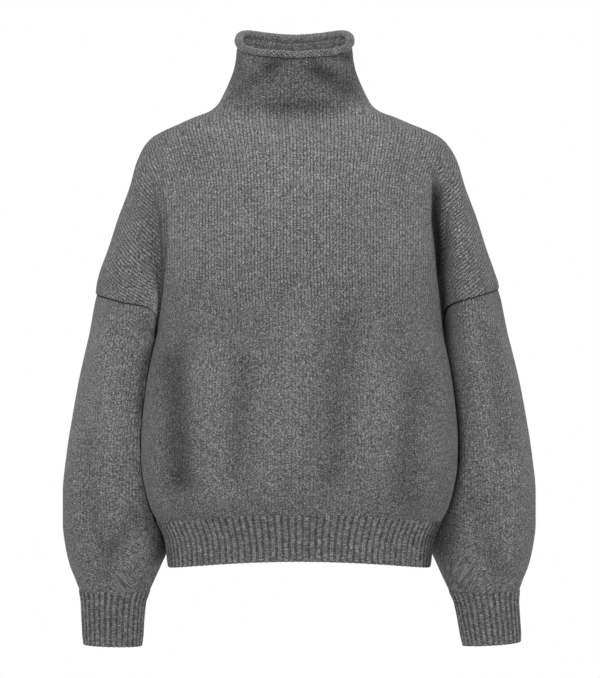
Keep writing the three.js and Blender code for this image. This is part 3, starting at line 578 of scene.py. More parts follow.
# Above the underarm the cloth gives. Its wales lie partly by their plain sideways distance.
LEVEL_SHARE, LEVEL_RISE = 0.6, 80
ARM_LEVEL_SHARE, ARM_LEVEL_TO = 0.5, (-150, -90)  # the same on the arm, near the shoulder
LEAST_DOWN = 0.35  # a step down counts at least this share of its length
ARM_WALE = 0.9  # the arm's wales are wider than the trunk's, by one over this
TURN_START_Z = -50  # under this height the arm's wales part from the trunk's
# How far the arm's wales are turned, by height. The real ones were measured near -91, -136 and -192.
arm_turn = curves(["z", "degrees"], [
    (0, 19), (-35, 22), (-60, 32), (-91, 43), (-136, 45), (-192, 50), (-282, 52),
])
TURN_LEVELS = np.linspace(100, UNDERARM_Z - 10, 400)


def towards_level(across, level, z):
    """Lengths over the cloth, drawn towards the sideways distances in level."""
    return mix(across, level, LEVEL_SHARE * ramp(z, UNDERARM_Z, UNDERARM_Z + LEVEL_RISE))


def lean_across(across, z):
    return across + LEAN * (ramp(z, LEAN_FROM, LEAN_TO) - 0.5) * (across / LEAN_X) ** LEAN_POWER


def turned(out, z, start_z, start_u, start_v):
    """Stitch coordinates of an arm's points: out is how far each lies from the valley beside the trunk."""
    angle = np.radians(arm_turn(TURN_LEVELS)["degrees"])
    step = -np.diff(TURN_LEVELS, prepend=TURN_LEVELS[0])
    sideways, down = np.cumsum(np.sin(angle) * step), np.cumsum(np.cos(angle) * step)

    def since(values):
        return np.interp(-z, -TURN_LEVELS, values) - np.interp(-start_z, -TURN_LEVELS, values)

    here = np.radians(arm_turn(z)["degrees"])
    below = z < start_z
    u = np.where(below, start_u[-1] + ARM_WALE * since(sideways), np.interp(-z, -start_u[0], start_u[1]))
    v = np.where(below, start_v[-1] + since(down), np.interp(-z, -start_v[0], start_v[1]))
    return u + ARM_WALE * out * np.cos(here), v - out * np.sin(here)


def course_lengths(spots, across, first):
    """How far down the piece each point is: what is left of each step down after its share across."""
    step = np.linalg.norm(np.diff(spots, axis=0), axis=2)
    sideways = np.diff(across, axis=0)
    down = np.sqrt(np.maximum(step**2 - sideways**2, (LEAST_DOWN * step) ** 2))
    return first + np.vstack([np.zeros(spots.shape[1]), np.cumsum(down, axis=0)])


print(len(QUARTER), "columns in each quarter of the yoke")

# %% [markdown]
# ## Wool
# The yarn is a melange: fibres of several greys are spun together, so every stitch has its own tone, with
# lighter and darker flecks in it. A plain stitch is a V of two leaning strands. A picture of knitting would
# repeat, so the V is worked out in the shader from the stitch coordinates: its height drives the bump and,
# because gaps between strands get little light, the shade. The same tree draws purl, as seen from behind.

# %% A helper that builds shaders
class Shader:
    """Adds nodes to a tree and links them. A value may be a number, a colour or another node's output."""

    def __init__(self, tree):
        self.tree = tree

    def node(self, kind, inputs=(), **settings):
        made = self.tree.nodes.new(kind)
        for key, value in settings.items():
            setattr(made, key, value)
        for key, value in dict(inputs).items():
            if isinstance(value, bpy.types.NodeSocket):
                self.tree.links.new(value, made.inputs[key])
            else:
                made.inputs[key].default_value = value
        return made

    def math(self, operation, *values, clamp=False):
        inputs = {k: v for k, v in enumerate(values)}
        return self.node("ShaderNodeMath", inputs, operation=operation, use_clamp=clamp).outputs[0]

    def remap(self, value, low, high, to_low=0.0, to_high=1.0, smoother=False):
        kind = "SMOOTHSTEP" if smoother else "LINEAR"
        inputs = {"Value": value, "From Min": low, "From Max": high, "To Min": to_low, "To Max": to_high}
        return self.node("ShaderNodeMapRange", inputs, interpolation_type=kind).outputs["Result"]

    def blend(self, factor, a, b, mode="MIX"):
        made = self.node("ShaderNodeMix", data_type="RGBA", blend_type=mode)
        for k, value in ((0, factor), (6, a), (7, b)):
            if isinstance(value, bpy.types.NodeSocket):
                self.tree.links.new(value, made.inputs[k])
            else:
                made.inputs[k].default_value = value
        return made.outputs[2]

    def noise(self, vector, scale, detail=2.0, roughness=0.5):
        inputs = {"Vector": vector, "Scale": scale, "Detail": detail, "Roughness": roughness}
        return self.node("ShaderNodeTexNoise", inputs).outputs["Fac"]


print("shader helper ready")

# %% Wool materials
STITCH_LEAN = 1.6  # how steeply the strands of a V lean, in courses per wale
STITCH_RELIEF = 1.2 * MM
WOOL_DARK = (0.044, 0.044, 0.048, 1)
WOOL_MID = (0.134, 0.133, 0.137, 1)
WOOL_LIGHT = (0.37, 0.365, 0.36, 1)
CALM_FROM, CALM_TO = -0.21, -0.28  # in metres: from here down the plain stitches lie flatter
CALM = 0.4  # how much of their contrast is left there
COLLAR_FROM, COLLAR_TO, COLLAR_CONTRAST = 0.0, 0.02, 0.55  # flatter on the collar too
SLEEVE_FROM, SLEEVE_TO, SLEEVE_CONTRAST = -0.5, -0.58, 0.4  # and low on the sleeves
ARM_FROM, ARM_TO, ARM_CONTRAST = 0.15, 0.2, 1.25  # on the arms they stand out more
FLECK_SCALE, PATCH_SCALE, FIBRE_SCALE = 950.0, 14.0, 2600.0  # of the noise for flecks, patches and fibres
UNEVEN_SCALE, UNEVEN = 90.0, 0.22  # stitches wander by up to about this much of their width
OWN_TONE = 0.28  # how much of its tone a piece of a stitch has for itself
FIBRE_RELIEF = 0.3 * MM
SHEEN = 0.16


def strands(s, u, v):
    """Rounded leaning strands, from 0 between two to 1 on one, and their distance from the wale's middle."""
    aside = s.math("ABSOLUTE", s.math("SUBTRACT", s.math("FRACT", u), 0.5))
    leaning = s.math("ADD", v, s.math("MULTIPLY", aside, STITCH_LEAN))
    off = s.math("ABSOLUTE", s.math("SUBTRACT", s.math("FRACT", leaning), 0.5))
    return s.remap(off, 0.5, 0.12, smoother=True), aside


def plain_relief(s, u, v, purl):
    """Height from 0 to 1 of plain stitches, furrows between the wales. Where purl is 1, rows of bumps."""
    strand, aside = strands(s, u, v)
    wale = s.remap(aside, 0.5, 0.27, smoother=True)
    notch = s.remap(aside, 0.0, 0.09, 0.72, 1.0)
    rounding = s.math("ADD", 0.62, s.math("MULTIPLY", strand, 0.38))
    plain = s.math("MULTIPLY", s.math("MULTIPLY", wale, notch), rounding)
    wave = s.math("MULTIPLY", s.math("COSINE", s.math("MULTIPLY", u, 2 * math.pi)), 0.25)
    row = s.math("ABSOLUTE", s.math("SUBTRACT", s.math("FRACT", s.math("ADD", v, wave)), 0.5))
    reverse = s.remap(row, 0.5, 0.15, 0.5, 1.0, smoother=True)
    return s.node("ShaderNodeMix", {0: purl, 2: plain, 3: reverse}, data_type="FLOAT").outputs[0]


def rib_height(s, u, v, purl):
    """Height of a 1x1 rib: one wale of strands on the ridge and deep shade in the groove."""
    strand, aside = strands(s, u, v)
    ridge = s.math("MULTIPLY", s.remap(aside, 0.38, 0.2, smoother=True), s.remap(aside, 0.02, 0.1, 0.6, 1.0))
    outside = s.math("MULTIPLY", ridge, s.math("ADD", 0.7, s.math("MULTIPLY", strand, 0.3)))
    return s.math("MAXIMUM", outside, s.math("MULTIPLY", purl, 0.5))


def stitch_contrast(s, place):
    """How strongly the plain stitches show at each place."""
    at = s.node("ShaderNodeSeparateXYZ", {0: place}).outputs
    low = s.remap(at[2], CALM_TO, CALM_FROM, CALM, 1.0, smoother=True)
    arm = s.remap(s.math("ABSOLUTE", at[0]), ARM_FROM, ARM_TO, 1.0, ARM_CONTRAST, smoother=True)
    collar = s.remap(at[2], COLLAR_FROM, COLLAR_TO, 1.0, COLLAR_CONTRAST, smoother=True)
    low_sleeve = s.remap(at[2], SLEEVE_TO, SLEEVE_FROM, SLEEVE_CONTRAST, 1.0, smoother=True)
    return s.math("MULTIPLY", s.math("MULTIPLY", low, arm), s.math("MULTIPLY", collar, low_sleeve))


def wool(name, shade, relief=None, darkest=0.44, lightest=1.25):
    """Melange wool. shade scales its tone, and relief gives the height of its stitches.

    darkest and lightest scale the tone between the stitches and on them: painted shade and painted light.
    shade below 1 is painted shade, and above 1 painted light.
    """
    material = bpy.data.materials.new(name)
    material.use_nodes = True
    tree = material.node_tree
    tree.nodes.clear()
    s = Shader(tree)
    place = s.node("ShaderNodeTexCoord").outputs["Object"]
    tone = s.noise(place, FLECK_SCALE, 1.0, 0.6)
    height = None
    if relief:
        uv = s.node("ShaderNodeSeparateXYZ", {0: s.node("ShaderNodeUVMap", uv_map="stitches").outputs[0]})
        uneven = s.math("MULTIPLY", s.math("SUBTRACT", s.noise(place, UNEVEN_SCALE, 1.0), 0.5), UNEVEN)
        u, v = s.math("ADD", uv.outputs[0], uneven), s.math("ADD", uv.outputs[1], uneven)
        purl = s.node("ShaderNodeAttribute", attribute_name="purl").outputs["Fac"]
        height = relief(s, u, v, purl)
        cell = s.node("ShaderNodeCombineXYZ", {
            0: s.math("FLOOR", s.math("MULTIPLY", u, 3.0)), 1: s.math("FLOOR", s.math("MULTIPLY", v, 3.0))})
        single = s.node("ShaderNodeTexWhiteNoise", {"Vector": cell.outputs[0]}, noise_dimensions="3D")
        own = s.math("MULTIPLY", single.outputs["Value"], OWN_TONE)
        tone = s.math("ADD", s.math("MULTIPLY", tone, 1.0 - OWN_TONE), own)
    dark = s.remap(tone, 0.32, 0.5, smoother=True)
    light = s.remap(tone, 0.52, 0.72, smoother=True)
    colour = s.blend(light, s.blend(dark, WOOL_DARK, WOOL_MID), WOOL_LIGHT)
    patches = s.remap(s.noise(place, PATCH_SCALE, 2.0), 0.3, 0.7, 0.95, 1.05)
    # Painted shade from the points' attribute darkens the tone, and below 0 it is painted light.
    painted_shade = s.node("ShaderNodeAttribute", attribute_name="painted_shade").outputs["Fac"]
    value = s.math("MULTIPLY", s.math("MULTIPLY", patches, shade), s.math("SUBTRACT", 1.0, painted_shade))
    distance = STITCH_RELIEF
    if relief:
        contrast = s.remap(height, 0.0, 1.0, darkest - 1.0, lightest - 1.0)
        if relief is plain_relief:
            strength = stitch_contrast(s, place)
            contrast = s.math("MULTIPLY", contrast, strength)
            distance = s.math("MULTIPLY", STITCH_RELIEF, s.math("MINIMUM", strength, 1.0))
        value = s.math("MULTIPLY", value, s.math("ADD", 1.0, contrast))
    grey = s.node("ShaderNodeCombineXYZ", {0: value, 1: value, 2: value}).outputs[0]
    colour = s.blend(1.0, colour, grey, "MULTIPLY")
    fibre = s.noise(place, FIBRE_SCALE, 1.0, 0.6)
    normal = s.node("ShaderNodeBump", {"Height": fibre, "Distance": FIBRE_RELIEF, "Strength": 0.5}).outputs[0]
    if relief:
        normal = s.node("ShaderNodeBump", {
            "Height": height, "Distance": distance, "Strength": 0.9, "Normal": normal}).outputs[0]
    sheen = s.math("MULTIPLY", s.math("SUBTRACT", 1.0, painted_shade), SHEEN)
    surface = s.node("ShaderNodeBsdfPrincipled", {
        "Base Color": colour, "Roughness": 0.92, "Specular IOR Level": 0.2, "Sheen Weight": sheen,
        "Sheen Roughness": 0.5, "Sheen Tint": (0.9, 0.88, 0.86, 1), "Normal": normal})
    output = s.node("ShaderNodeOutputMaterial")
    tree.links.new(surface.outputs[0], output.inputs["Surface"])
    return material


# The same wool, with painted shade on the ribs and painted light on the curl's beads.
knit_wool = wool("knit wool", 1.0, plain_relief)
rib_wool = wool("rib wool", 0.74, rib_height, darkest=0.6, lightest=1.3)
yarn_wool = wool("yarn", 1.3)
print("materials:", knit_wool.name, rib_wool.name, yarn_wool.name)

# %% [markdown]
# ## Front and back
# Each panel is one knitted piece from the neckline and shoulder line down to the hem rib, and over the upper
# arm to the dropped armhole seam. It could be draped from a flat cut, but then its silhouette would be
# left to chance. So it is a grid over the skin: the yoke with the wings, and below it the trunk.

# %% Front and back panels
BODY_ROWS = 66
NEAR_SEAM = np.array([0, 0.003, 0.007, 0.013])  # shares of the length, close to an armhole seam
YOKE_SHARES = np.concatenate([np.linspace(0, 0.985, 82)[:-1], 1 - NEAR_SEAM[::-1]])
YOKE_ROWS = len(YOKE_SHARES) - 1
PANEL_LIP = 0.8  # the panel stands out this far along the armhole seam
PANEL_EDGE = [(0.5, 0.7), (1, 0.1), (1, 0), (1, 0), (0.9, 0), (0.6, 0), (0.3, 0)]  # lip and shade, edge first
LIP_COLUMNS = 5  # the lip rises over this many columns


def hem_z(face, along):
    angle = valley_angle(face, HEM_SIDE_Z)
    x = trunk_point(face, np.minimum(along, 1) * angle, HEM_SIDE_Z)[0]
    side_x = trunk_point(face, angle, HEM_SIDE_Z)[0]
    return HEM_SIDE_Z + HEM_RISE[face] * (1 - (np.minimum(x, side_x) / side_x) ** 2)


def yoke_quarter(side, face):
    """Points and stitch coordinates of a quarter of the yoke, column 0 in the middle of the panel."""
    z = even_heights(side, face, QUARTER, neckline_z(face, QUARTER), lowest_z(side, QUARTER), YOKE_SHARES)
    spots = skin(side, face, QUARTER[None, :], z)
    across = slice_lengths(side, face, QUARTER, z)
    collar_height = rim_z(face, QUARTER) - neckline_z(face, QUARTER)
    down = course_lengths(spots, across, collar_height)
    level = np.maximum(side * (spots[..., 0] - sway(z)["x"]), 0)
    out = slice_lengths(side, face, QUARTER, z, start=ARM_FIRST)
    beyond = level - trunk(z)["edge"] - shoulder(z)["valley"]
    out = mix(out, beyond, ARM_LEVEL_SHARE * ramp(z, *ARM_LEVEL_TO))
    across = lean_across(towards_level(across, level, z), z)
    arm = slice(ARM_FIRST - 2, None)
    at_z, at_across, at_down = z[:, ARM_FIRST], across[:, ARM_FIRST], down[:, ARM_FIRST]
    first_u, first_v = (np.interp(-TURN_START_Z, -at_z, values) for values in (at_across, at_down))
    across[:, arm], down[:, arm] = turned(
        out[:, arm], z[:, arm], TURN_START_Z, (at_z, at_across, first_u), (at_z, at_down, first_v))
    return spots, np.stack([side * across, down], -1)


def body_quarter(side, face, across, down):
    """The trunk below the underarm. across and down are the coordinates of the row that it hangs from."""
    along = QUARTER[: TRUNK_STEPS + 1]
    t = np.linspace(0, 1, BODY_ROWS + 1)[:, None]
    z = mix(UNDERARM_Z, hem_z(face, along) + HEM_RIB_HEIGHT, t)
    spots = skin(side, face, along[None, :], z)
    level = np.broadcast_to(across, z.shape)
    lower = course_lengths(spots, level, down)
    return spots, np.stack([level, lower], -1)


def both_sides(face, quarter_of):
    """Joins the quarters of both sides into rows that run anticlockwise seen from above."""
    first, second = (RIGHT, LEFT) if face == FRONT else (LEFT, RIGHT)
    made = [quarter_of(side) for side in (first, second)]
    return [np.concatenate([a[:, ::-1], b[:, 1:]], axis=1) for a, b in zip(*made)]


def add_panel(name, face):
    parts = {}

    def yoke(side):
        parts[side] = yoke_quarter(side, face)
        return parts[side]

    def body(side):
        spots, flat = parts[side]
        row = flat[-1, : TRUNK_STEPS + 1]
        return body_quarter(side, face, row[:, 0], row[:, 1])

    yoke_spots, yoke_flat = both_sides(face, yoke)
    body_spots, body_flat = both_sides(face, body)
    wide, narrow = yoke_spots.shape[1], body_spots.shape[1]
    start = (wide - narrow) // 2
    points = np.concatenate([yoke_spots.reshape(-1, 3), body_spots[1:].reshape(-1, 3)])
    flat = np.concatenate([yoke_flat.reshape(-1, 2), body_flat[1:].reshape(-1, 2)])
    yoke_quads = grid_faces(YOKE_ROWS + 1, wide)
    body_quads = grid_faces(BODY_ROWS, narrow, first=wide * (YOKE_ROWS + 1))
    joint_top = wide * YOKE_ROWS + start + np.arange(narrow)
    joint_low = wide * (YOKE_ROWS + 1) + np.arange(narrow)
    joint = np.stack([joint_top[:-1], joint_low[:-1], joint_low[1:], joint_top[1:]], 1)
    quads = np.concatenate([yoke_quads, joint, body_quads])
    column = np.arange(wide)
    inside = np.maximum(start - FLOOR_STEPS - column, column - (wide - 1 - start + FLOOR_STEPS))
    on_arm = smooth(inside / LIP_COLUMNS)
    sink, painted_shade = np.zeros(len(points)), np.zeros(len(points))
    for rows_up, (lip, dark) in enumerate(PANEL_EDGE):
        row = wide * (YOKE_ROWS - rows_up) + column
        sink[row] = -PANEL_LIP * lip * on_arm
        painted_shade[row] = dark * (inside > 0)
    thing = wall_object(name, points, quads, flat / (WALE, COURSE), quads, sink, painted_shade, knit_wool)
    wales = round((flat[:, 0].max() - flat[:, 0].min()) / WALE)
    print(name, "has", len(thing.data.polygons), "faces and", wales, "wales")
    return thing


front = add_panel("front_panel", FRONT)
back = add_panel("back_panel", BACK)

# %% [markdown]
# ## Sleeves
# A sleeve is knitted as one piece and sewn to the body below the shoulder, where the stitches change
# direction. Its wales run down from the seam along the arm's outer line. It is a closed ring of columns here.

# %% Sleeves
SLEEVE_SINK = 1.3  # the sleeve's top rows lie this far under the skin, times these shares
SLEEVE_TUCK = (1.4, 1.1, 0.8, 0.6, 0.4, 0.2)
SLEEVE_TOP_SHADE = (0.75, 0.3)
SLEEVE_SHARES = np.concatenate([NEAR_SEAM, np.linspace(0.02, 1, 102)])
SLEEVE_ROWS = len(SLEEVE_SHARES) - 1


def add_sleeve(name, side):
    on_arm = QUARTER[ARM_FIRST:]
    parts = []
    for face in (FRONT, BACK):
        top = lowest_z(side, on_arm)
        z = even_heights(side, face, on_arm, top, np.full(len(on_arm), float(CUFF_TOP_Z)), SLEEVE_SHARES)
        spots = skin(side, face, on_arm[None, :], z)
        across = slice_lengths(side, face, on_arm, z, start=len(on_arm) - 1)
        down = course_lengths(spots, across, top[-1] - top)
        parts.append((spots, np.stack([across * (-face), down], -1)))
    (front_spots, front_flat), (back_spots, back_flat) = parts
    spots = np.concatenate([front_spots, back_spots[:, ::-1][:, 1:]], axis=1)
    flat = np.concatenate([front_flat, back_flat[:, ::-1][:, 1:]], axis=1)
    if side == RIGHT:
        spots, flat = spots[:, ::-1], flat[:, ::-1]
    columns = spots.shape[1]
    points = spots[:, :-1].reshape(-1, 3)
    quads = grid_faces(SLEEVE_ROWS + 1, columns - 1, wrap=True)
    uv_quads = grid_faces(SLEEVE_ROWS + 1, columns)
    sink, painted_shade = (np.zeros((SLEEVE_ROWS + 1, columns - 1)) for _ in range(2))
    for row, share in enumerate(SLEEVE_TUCK):
        sink[row] = SLEEVE_SINK * share
    for row, dark in enumerate(SLEEVE_TOP_SHADE):
        painted_shade[row] = dark
    uv = flat.reshape(-1, 2) / (WALE, COURSE)
    thing = wall_object(name, points, quads, uv, uv_quads, sink.ravel(), painted_shade.ravel(), knit_wool)
    print(name, "has", len(thing.data.polygons), "faces")
    return thing


sleeve_left = add_sleeve("left_sleeve", LEFT)
sleeve_right = add_sleeve("right_sleeve", RIGHT)

# %% [markdown]
# ## The collar
# The collar stands up from the neckline as a funnel, and its edge curls outwards by itself, as plain knitting
# does, so that the curl shows the purl side. The section goes up the outside to a notch under the curl, round
# the curl and down the inside. Swept round the neck, that section gives the whole collar as one closed band.

# %% Collar
ROLL_RADIUS = {"side": 5.1, "front": 4.4, "back": 5.5}
ROLL_INSET = {"side": 2.6, "front": 0.6, "back": -3.6}  # from the collar's outer face in to the curl's middle
ROLL_FROM, ROLL_TO = -70, 235  # degrees round the curl, 0 straight out
COLLAR_ROWS, ROLL_ROWS = 26, 30
WALL_SHARES = np.linspace(0, 1, COLLAR_ROWS + 1)
TUCK, TUCK_FROM = 0.9, 0.9  # the wall is tucked in under the curl, from this share of its height
INSIDE_SHADE, INSIDE_DEPTH = 0.5, 26  # the inside of the neck, from its rim to this depth
# Painted shade on the curl's surface, between its beads of yarn.
BEAD_GAP_SHADE = 0.35  # the curl's surface between its beads of yarn
NECK_LEVELS = np.linspace(-30, 116, 60)  # heights from under the neckline to over the rim
SEAM_WALES = 8  # a face that spans more wales lies where the coordinates start again


def neck_ring():
    """The columns round the neck: pairs of side and face, each with its values of along, anticlockwise."""
    down, up = QUARTER[::-1][:-1], QUARTER[:-1]
    return [(RIGHT, FRONT, down), (LEFT, FRONT, up), (LEFT, BACK, down), (RIGHT, BACK, up)]


def ring_points(z_of):
    """Points round the neck, at the heights that z_of gives for a face and its columns."""
    return np.concatenate([skin(side, face, along, z_of(face, along)) for side, face, along in neck_ring()])


def level_outward(ring):
    """The level direction out of a closed ring of points."""
    line = np.roll(ring, -1, axis=0) - np.roll(ring, 1, axis=0)
    line[:, 2] = 0
    line /= np.linalg.norm(line, axis=1, keepdims=True)
    return np.stack([line[:, 1], -line[:, 0], np.zeros(len(ring))], 1)


def roll_frame():
    """The middle of the curl, the way out of it and its radius, round the neck."""
    ring = ring_points(rim_z)
    outward = level_outward(ring)
    facing = outward[:, 1:2]
    inset, radius = (
        mix(size["side"], np.where(facing < 0, size["front"], size["back"]), smooth(np.abs(facing) * 1.2))
        for size in (ROLL_INSET, ROLL_RADIUS))
    return ring - outward * inset, outward, radius


def roll_points(degrees):
    """Points of the curl. On its inner side it runs on into the wall's inner face."""
    middle, outward, radius = roll_frame()
    a = math.radians(degrees)
    points = middle + outward * radius * math.cos(a) + radius * np.array([0, 0, math.sin(a)])
    if degrees > 170:
        out = np.sum((points - ring_points(rim_z)) * outward, axis=1)
        points -= outward * np.maximum(out + WALL, 0)[:, None]
    return points


def ring_across(z_of):
    """Stitch coordinates across, round the neck, counted from the middle of the front and of the back."""
    parts = []
    for side, face, along in neck_ring():
        height = np.repeat(NECK_LEVELS[:, None], len(QUARTER), axis=1)
        level = np.maximum(side * (skin(side, face, QUARTER[None, :], height)[..., 0] - sway(height)["x"]), 0)
        full = towards_level(slice_lengths(side, face, QUARTER, height), level, height)
        z = z_of(face, along)
        column = np.round(np.interp(along, QUARTER, np.arange(len(QUARTER)))).astype(int)
        lengths = [(np.interp(h, NECK_LEVELS, full[:, c]), h) for h, c in zip(z, column)]
        parts.append([side * lean_across(length, h) for length, h in lengths])
    return np.concatenate(parts)


def wall_heights(share):
    """A function for the heights of one row of the wall, from 0 at the neckline to 1 under the curl."""
    return lambda face, along: mix(neckline_z(face, along), rim_z(face, along) - ROLL_RADIUS["side"], share)


def collar_section():
    """Rows of points up the outside of the wall, and rows round the whole section, from low inside."""
    outside = np.array([ring_points(wall_heights(share)) for share in WALL_SHARES])
    quads = grid_faces(COLLAR_ROWS + 1, outside.shape[1], wrap=True)[:, ::-1]
    normals = corner_normals(outside.reshape(-1, 3), quads).reshape(outside.shape)
    wall = outside - normals * TUCK * ramp(WALL_SHARES, TUCK_FROM, 1)[:, None, None]
    roll = np.array([roll_points(d) for d in np.linspace(ROLL_FROM, ROLL_TO, ROLL_ROWS)])
    inside = outside - normals * WALL
    return wall, np.concatenate([wall, roll, inside[::-1]])[::-1]


def collar_coordinates(wall, rim):
    """Stitch coordinates of the section's points. rim is the height of the collar's rim at each column."""
    wall_across = np.array([ring_across(wall_heights(share)) for share in WALL_SHARES])
    roll_across = np.repeat(wall_across[-1:], ROLL_ROWS, axis=0)
    across = np.concatenate([wall_across, roll_across, wall_across[::-1]])[::-1]
    wall_down = rim - wall[..., 2]
    round_curl = np.radians(np.linspace(0, ROLL_TO - ROLL_FROM, ROLL_ROWS)) * ROLL_RADIUS["side"]
    roll_down = -np.outer(round_curl, np.ones(len(rim)))
    down = np.concatenate([wall_down, roll_down, wall_down[::-1]])[::-1]
    return np.stack([across, down], -1) / (WALE, COURSE)


def add_collar():
    wall, section = collar_section()
    rows, columns = section.shape[:2]
    rim = np.concatenate([rim_z(face, along) for _, face, along in neck_ring()])
    first = np.arange(columns)
    last = first + (rows - 1) * columns
    closing = np.stack([last, first, np.roll(first, -1), np.roll(last, -1)], 1)
    quads = np.concatenate([grid_faces(rows, columns, wrap=True), closing])
    corner_uv = collar_coordinates(wall, rim).reshape(-1, 2)[quads]
    jump = corner_uv[..., 0].max(axis=1) - corner_uv[..., 0].min(axis=1) > SEAM_WALES
    corner_uv[jump, :, 0] = corner_uv[jump, :1, 0]
    purl, painted_shade = np.ones((rows, columns)), np.zeros((rows, columns))
    purl[-len(WALL_SHARES) :] = 0
    inside = slice(len(WALL_SHARES))
    painted_shade[inside] = INSIDE_SHADE * smooth((rim - section[inside, :, 2]) / INSIDE_DEPTH)
    painted_shade[len(WALL_SHARES) : -len(WALL_SHARES)] = BEAD_GAP_SHADE
    thing = mesh_object("collar_knit", section.reshape(-1, 3), quads, corner_uv, purl.ravel()[quads],
                        painted_shade.ravel(), knit_wool, sharp_angle=80)
    print("collar has", len(thing.data.polygons), "faces and", rows, "rows")
    return thing


collar = add_collar()

# %% [markdown]
# ## Geometry Nodes that raise ribs
# A rib band is knitted with plain and purl wales in turn, so that it draws in and stands up in ridges. A
# picture can't give that edge, and modelling each ridge by hand is slow. The band starts as a plain wall and
# its points know their place in ribs. One tree of nodes lifts them along their normals by a rib's section.

# %% Rib relief
def new_tree(name, inputs):
    """A Geometry Nodes tree with geometry in and out and the named inputs. Returns it and its end nodes."""
    tree = bpy.data.node_groups.new(name, "GeometryNodeTree")
    tree.interface.new_socket("Geometry", in_out="INPUT", socket_type="NodeSocketGeometry")
    tree.interface.new_socket("Geometry", in_out="OUTPUT", socket_type="NodeSocketGeometry")
    for label, kind, value in inputs:
        socket = tree.interface.new_socket(label, in_out="INPUT", socket_type=kind)
        if value is not None:
            socket.default_value = value
    return tree, tree.nodes.new("NodeGroupInput"), tree.nodes.new("NodeGroupOutput")


def rib_tree():
    tree, given, result = new_tree("Rib relief", [
        ("Rise", "NodeSocketFloat", 1.6 * MM), ("Sink", "NodeSocketFloat", 0.3 * MM),
        ("Groove", "NodeSocketFloat", 0.1), ("Flank", "NodeSocketFloat", 0.26),
        ("Material", "NodeSocketMaterial", None)])
    s = Shader(tree)

    def named(label):
        made = s.node("GeometryNodeInputNamedAttribute", {"Name": label}, data_type="FLOAT")
        return made.outputs["Attribute"]

    turn = s.math("FRACT", named("rib"))
    from_groove = s.math("SUBTRACT", 0.5, s.math("ABSOLUTE", s.math("SUBTRACT", turn, 0.5)))
    up_flank = s.math("SUBTRACT", from_groove, given.outputs["Groove"])
    flank = s.math("DIVIDE", up_flank, given.outputs["Flank"], clamp=True)
    ridge = s.math("SINE", s.math("MULTIPLY", flank, math.pi / 2))
    lift = s.math("SUBTRACT", s.math("MULTIPLY", ridge, given.outputs["Rise"]), given.outputs["Sink"])
    lift = s.math("MULTIPLY", lift, named("lift"))
    normal = s.node("GeometryNodeInputNormal").outputs[0]
    offset = s.node("ShaderNodeVectorMath", {0: normal, "Scale": lift}, operation="SCALE").outputs[0]
    moved = s.node("GeometryNodeSetPosition", {"Geometry": given.outputs["Geometry"], "Offset": offset})
    real = s.node("GeometryNodeRealizeInstances", {0: moved.outputs[0]})
    painted = s.node("GeometryNodeSetMaterial", {
        "Geometry": real.outputs[0], "Material": given.outputs["Material"]})
    tree.links.new(painted.outputs[0], result.inputs[0])
    return tree


def apply_tree(thing, tree, values):
    """Runs a tree on an object with the given inputs, and keeps the result as its plain mesh."""
    modifier = thing.modifiers.new(tree.name, "NODES")
    modifier.node_group = tree
    for item in tree.interface.items_tree:
        if item.item_type == "SOCKET" and item.in_out == "INPUT" and item.name in values:
            modifier[item.identifier] = values[item.name]
    shown = thing.evaluated_get(bpy.context.evaluated_depsgraph_get())
    mesh = bpy.data.meshes.new_from_object(shown)
    mesh.name = thing.name
    thing.modifiers.clear()
    thing.data = mesh
    return thing


rib_relief = rib_tree()
labels = [item.name for item in rib_relief.interface.items_tree if item.in_out == "INPUT"]
print("tree", rib_relief.name, "with inputs", labels)

# %% [markdown]
# ## Hem rib and cuffs
# The hem rib is knitted in two halves that meet at the side seams, and each cuff is one closed band. The ribs
# are evenly spaced round the edge, and the free edge is a soft round lip.

# %% Ribbed bands
RIB_PITCH_HEM, RIB_PITCH_CUFF = 8.4, 7.6
POINTS_PER_RIB = 10
RIB_ROWS, LIP_ROWS = 18, 5
RIB_WALL = 2.6
LIP_ANGLES = np.radians(np.linspace(0, 180, LIP_ROWS + 2))[1:-1]
RISE_AT_LIP = (0.8, 0.55, 0.35)  # the ribs sink towards the lip
RISE_ON_LIP = 0.3
RIB_INSIDE_SHADE = 0.3
SEAM_RIBS = 2  # a face that spans more ribs lies where the coordinates start again
RIB_SIDE_SHADE, RIB_SIDE_REACH = {LEFT: 0.65, RIGHT: 0.3}, 22  # the hem rib turns away from the light there


def spaced_columns(path, pitch, z):
    """Values of (side, face, along) at even steps along a line of the skin, and the number of ribs on it."""
    samples = np.linspace(0, 1, 721)
    line = path_points(path, samples, np.full(721, float(z)))
    far = np.concatenate([[0], np.cumsum(np.linalg.norm(np.diff(line, axis=0), axis=1))])
    ribs = round(far[-1] / pitch)
    return np.interp(np.linspace(0, far[-1], ribs * POINTS_PER_RIB + 1), far, samples), ribs


def path_points(path, t, z):
    """Skin points along a path. path gives for t the side, the face and along."""
    side, face, along = path(t)
    spots = np.zeros((len(t), 3))
    for one_side in (LEFT, RIGHT):
        for one_face in (FRONT, BACK):
            here = (side == one_side) & (face == one_face)
            spots[here] = skin(one_side, one_face, along[here], z[here])
    return spots


def trunk_path(face):
    first = RIGHT if face == FRONT else LEFT
    return lambda t: (np.where(t < 0.5, first, -first), np.full(len(t), face), np.abs(2 * t - 1))


def arm_path(side):
    def path(t):
        turn = t if side == LEFT else 1 - t
        return (np.full(len(t), side), np.where(turn < 0.5, FRONT, BACK),
                2 + np.where(turn < 0.5, turn * 2, 2 - turn * 2))
    return path


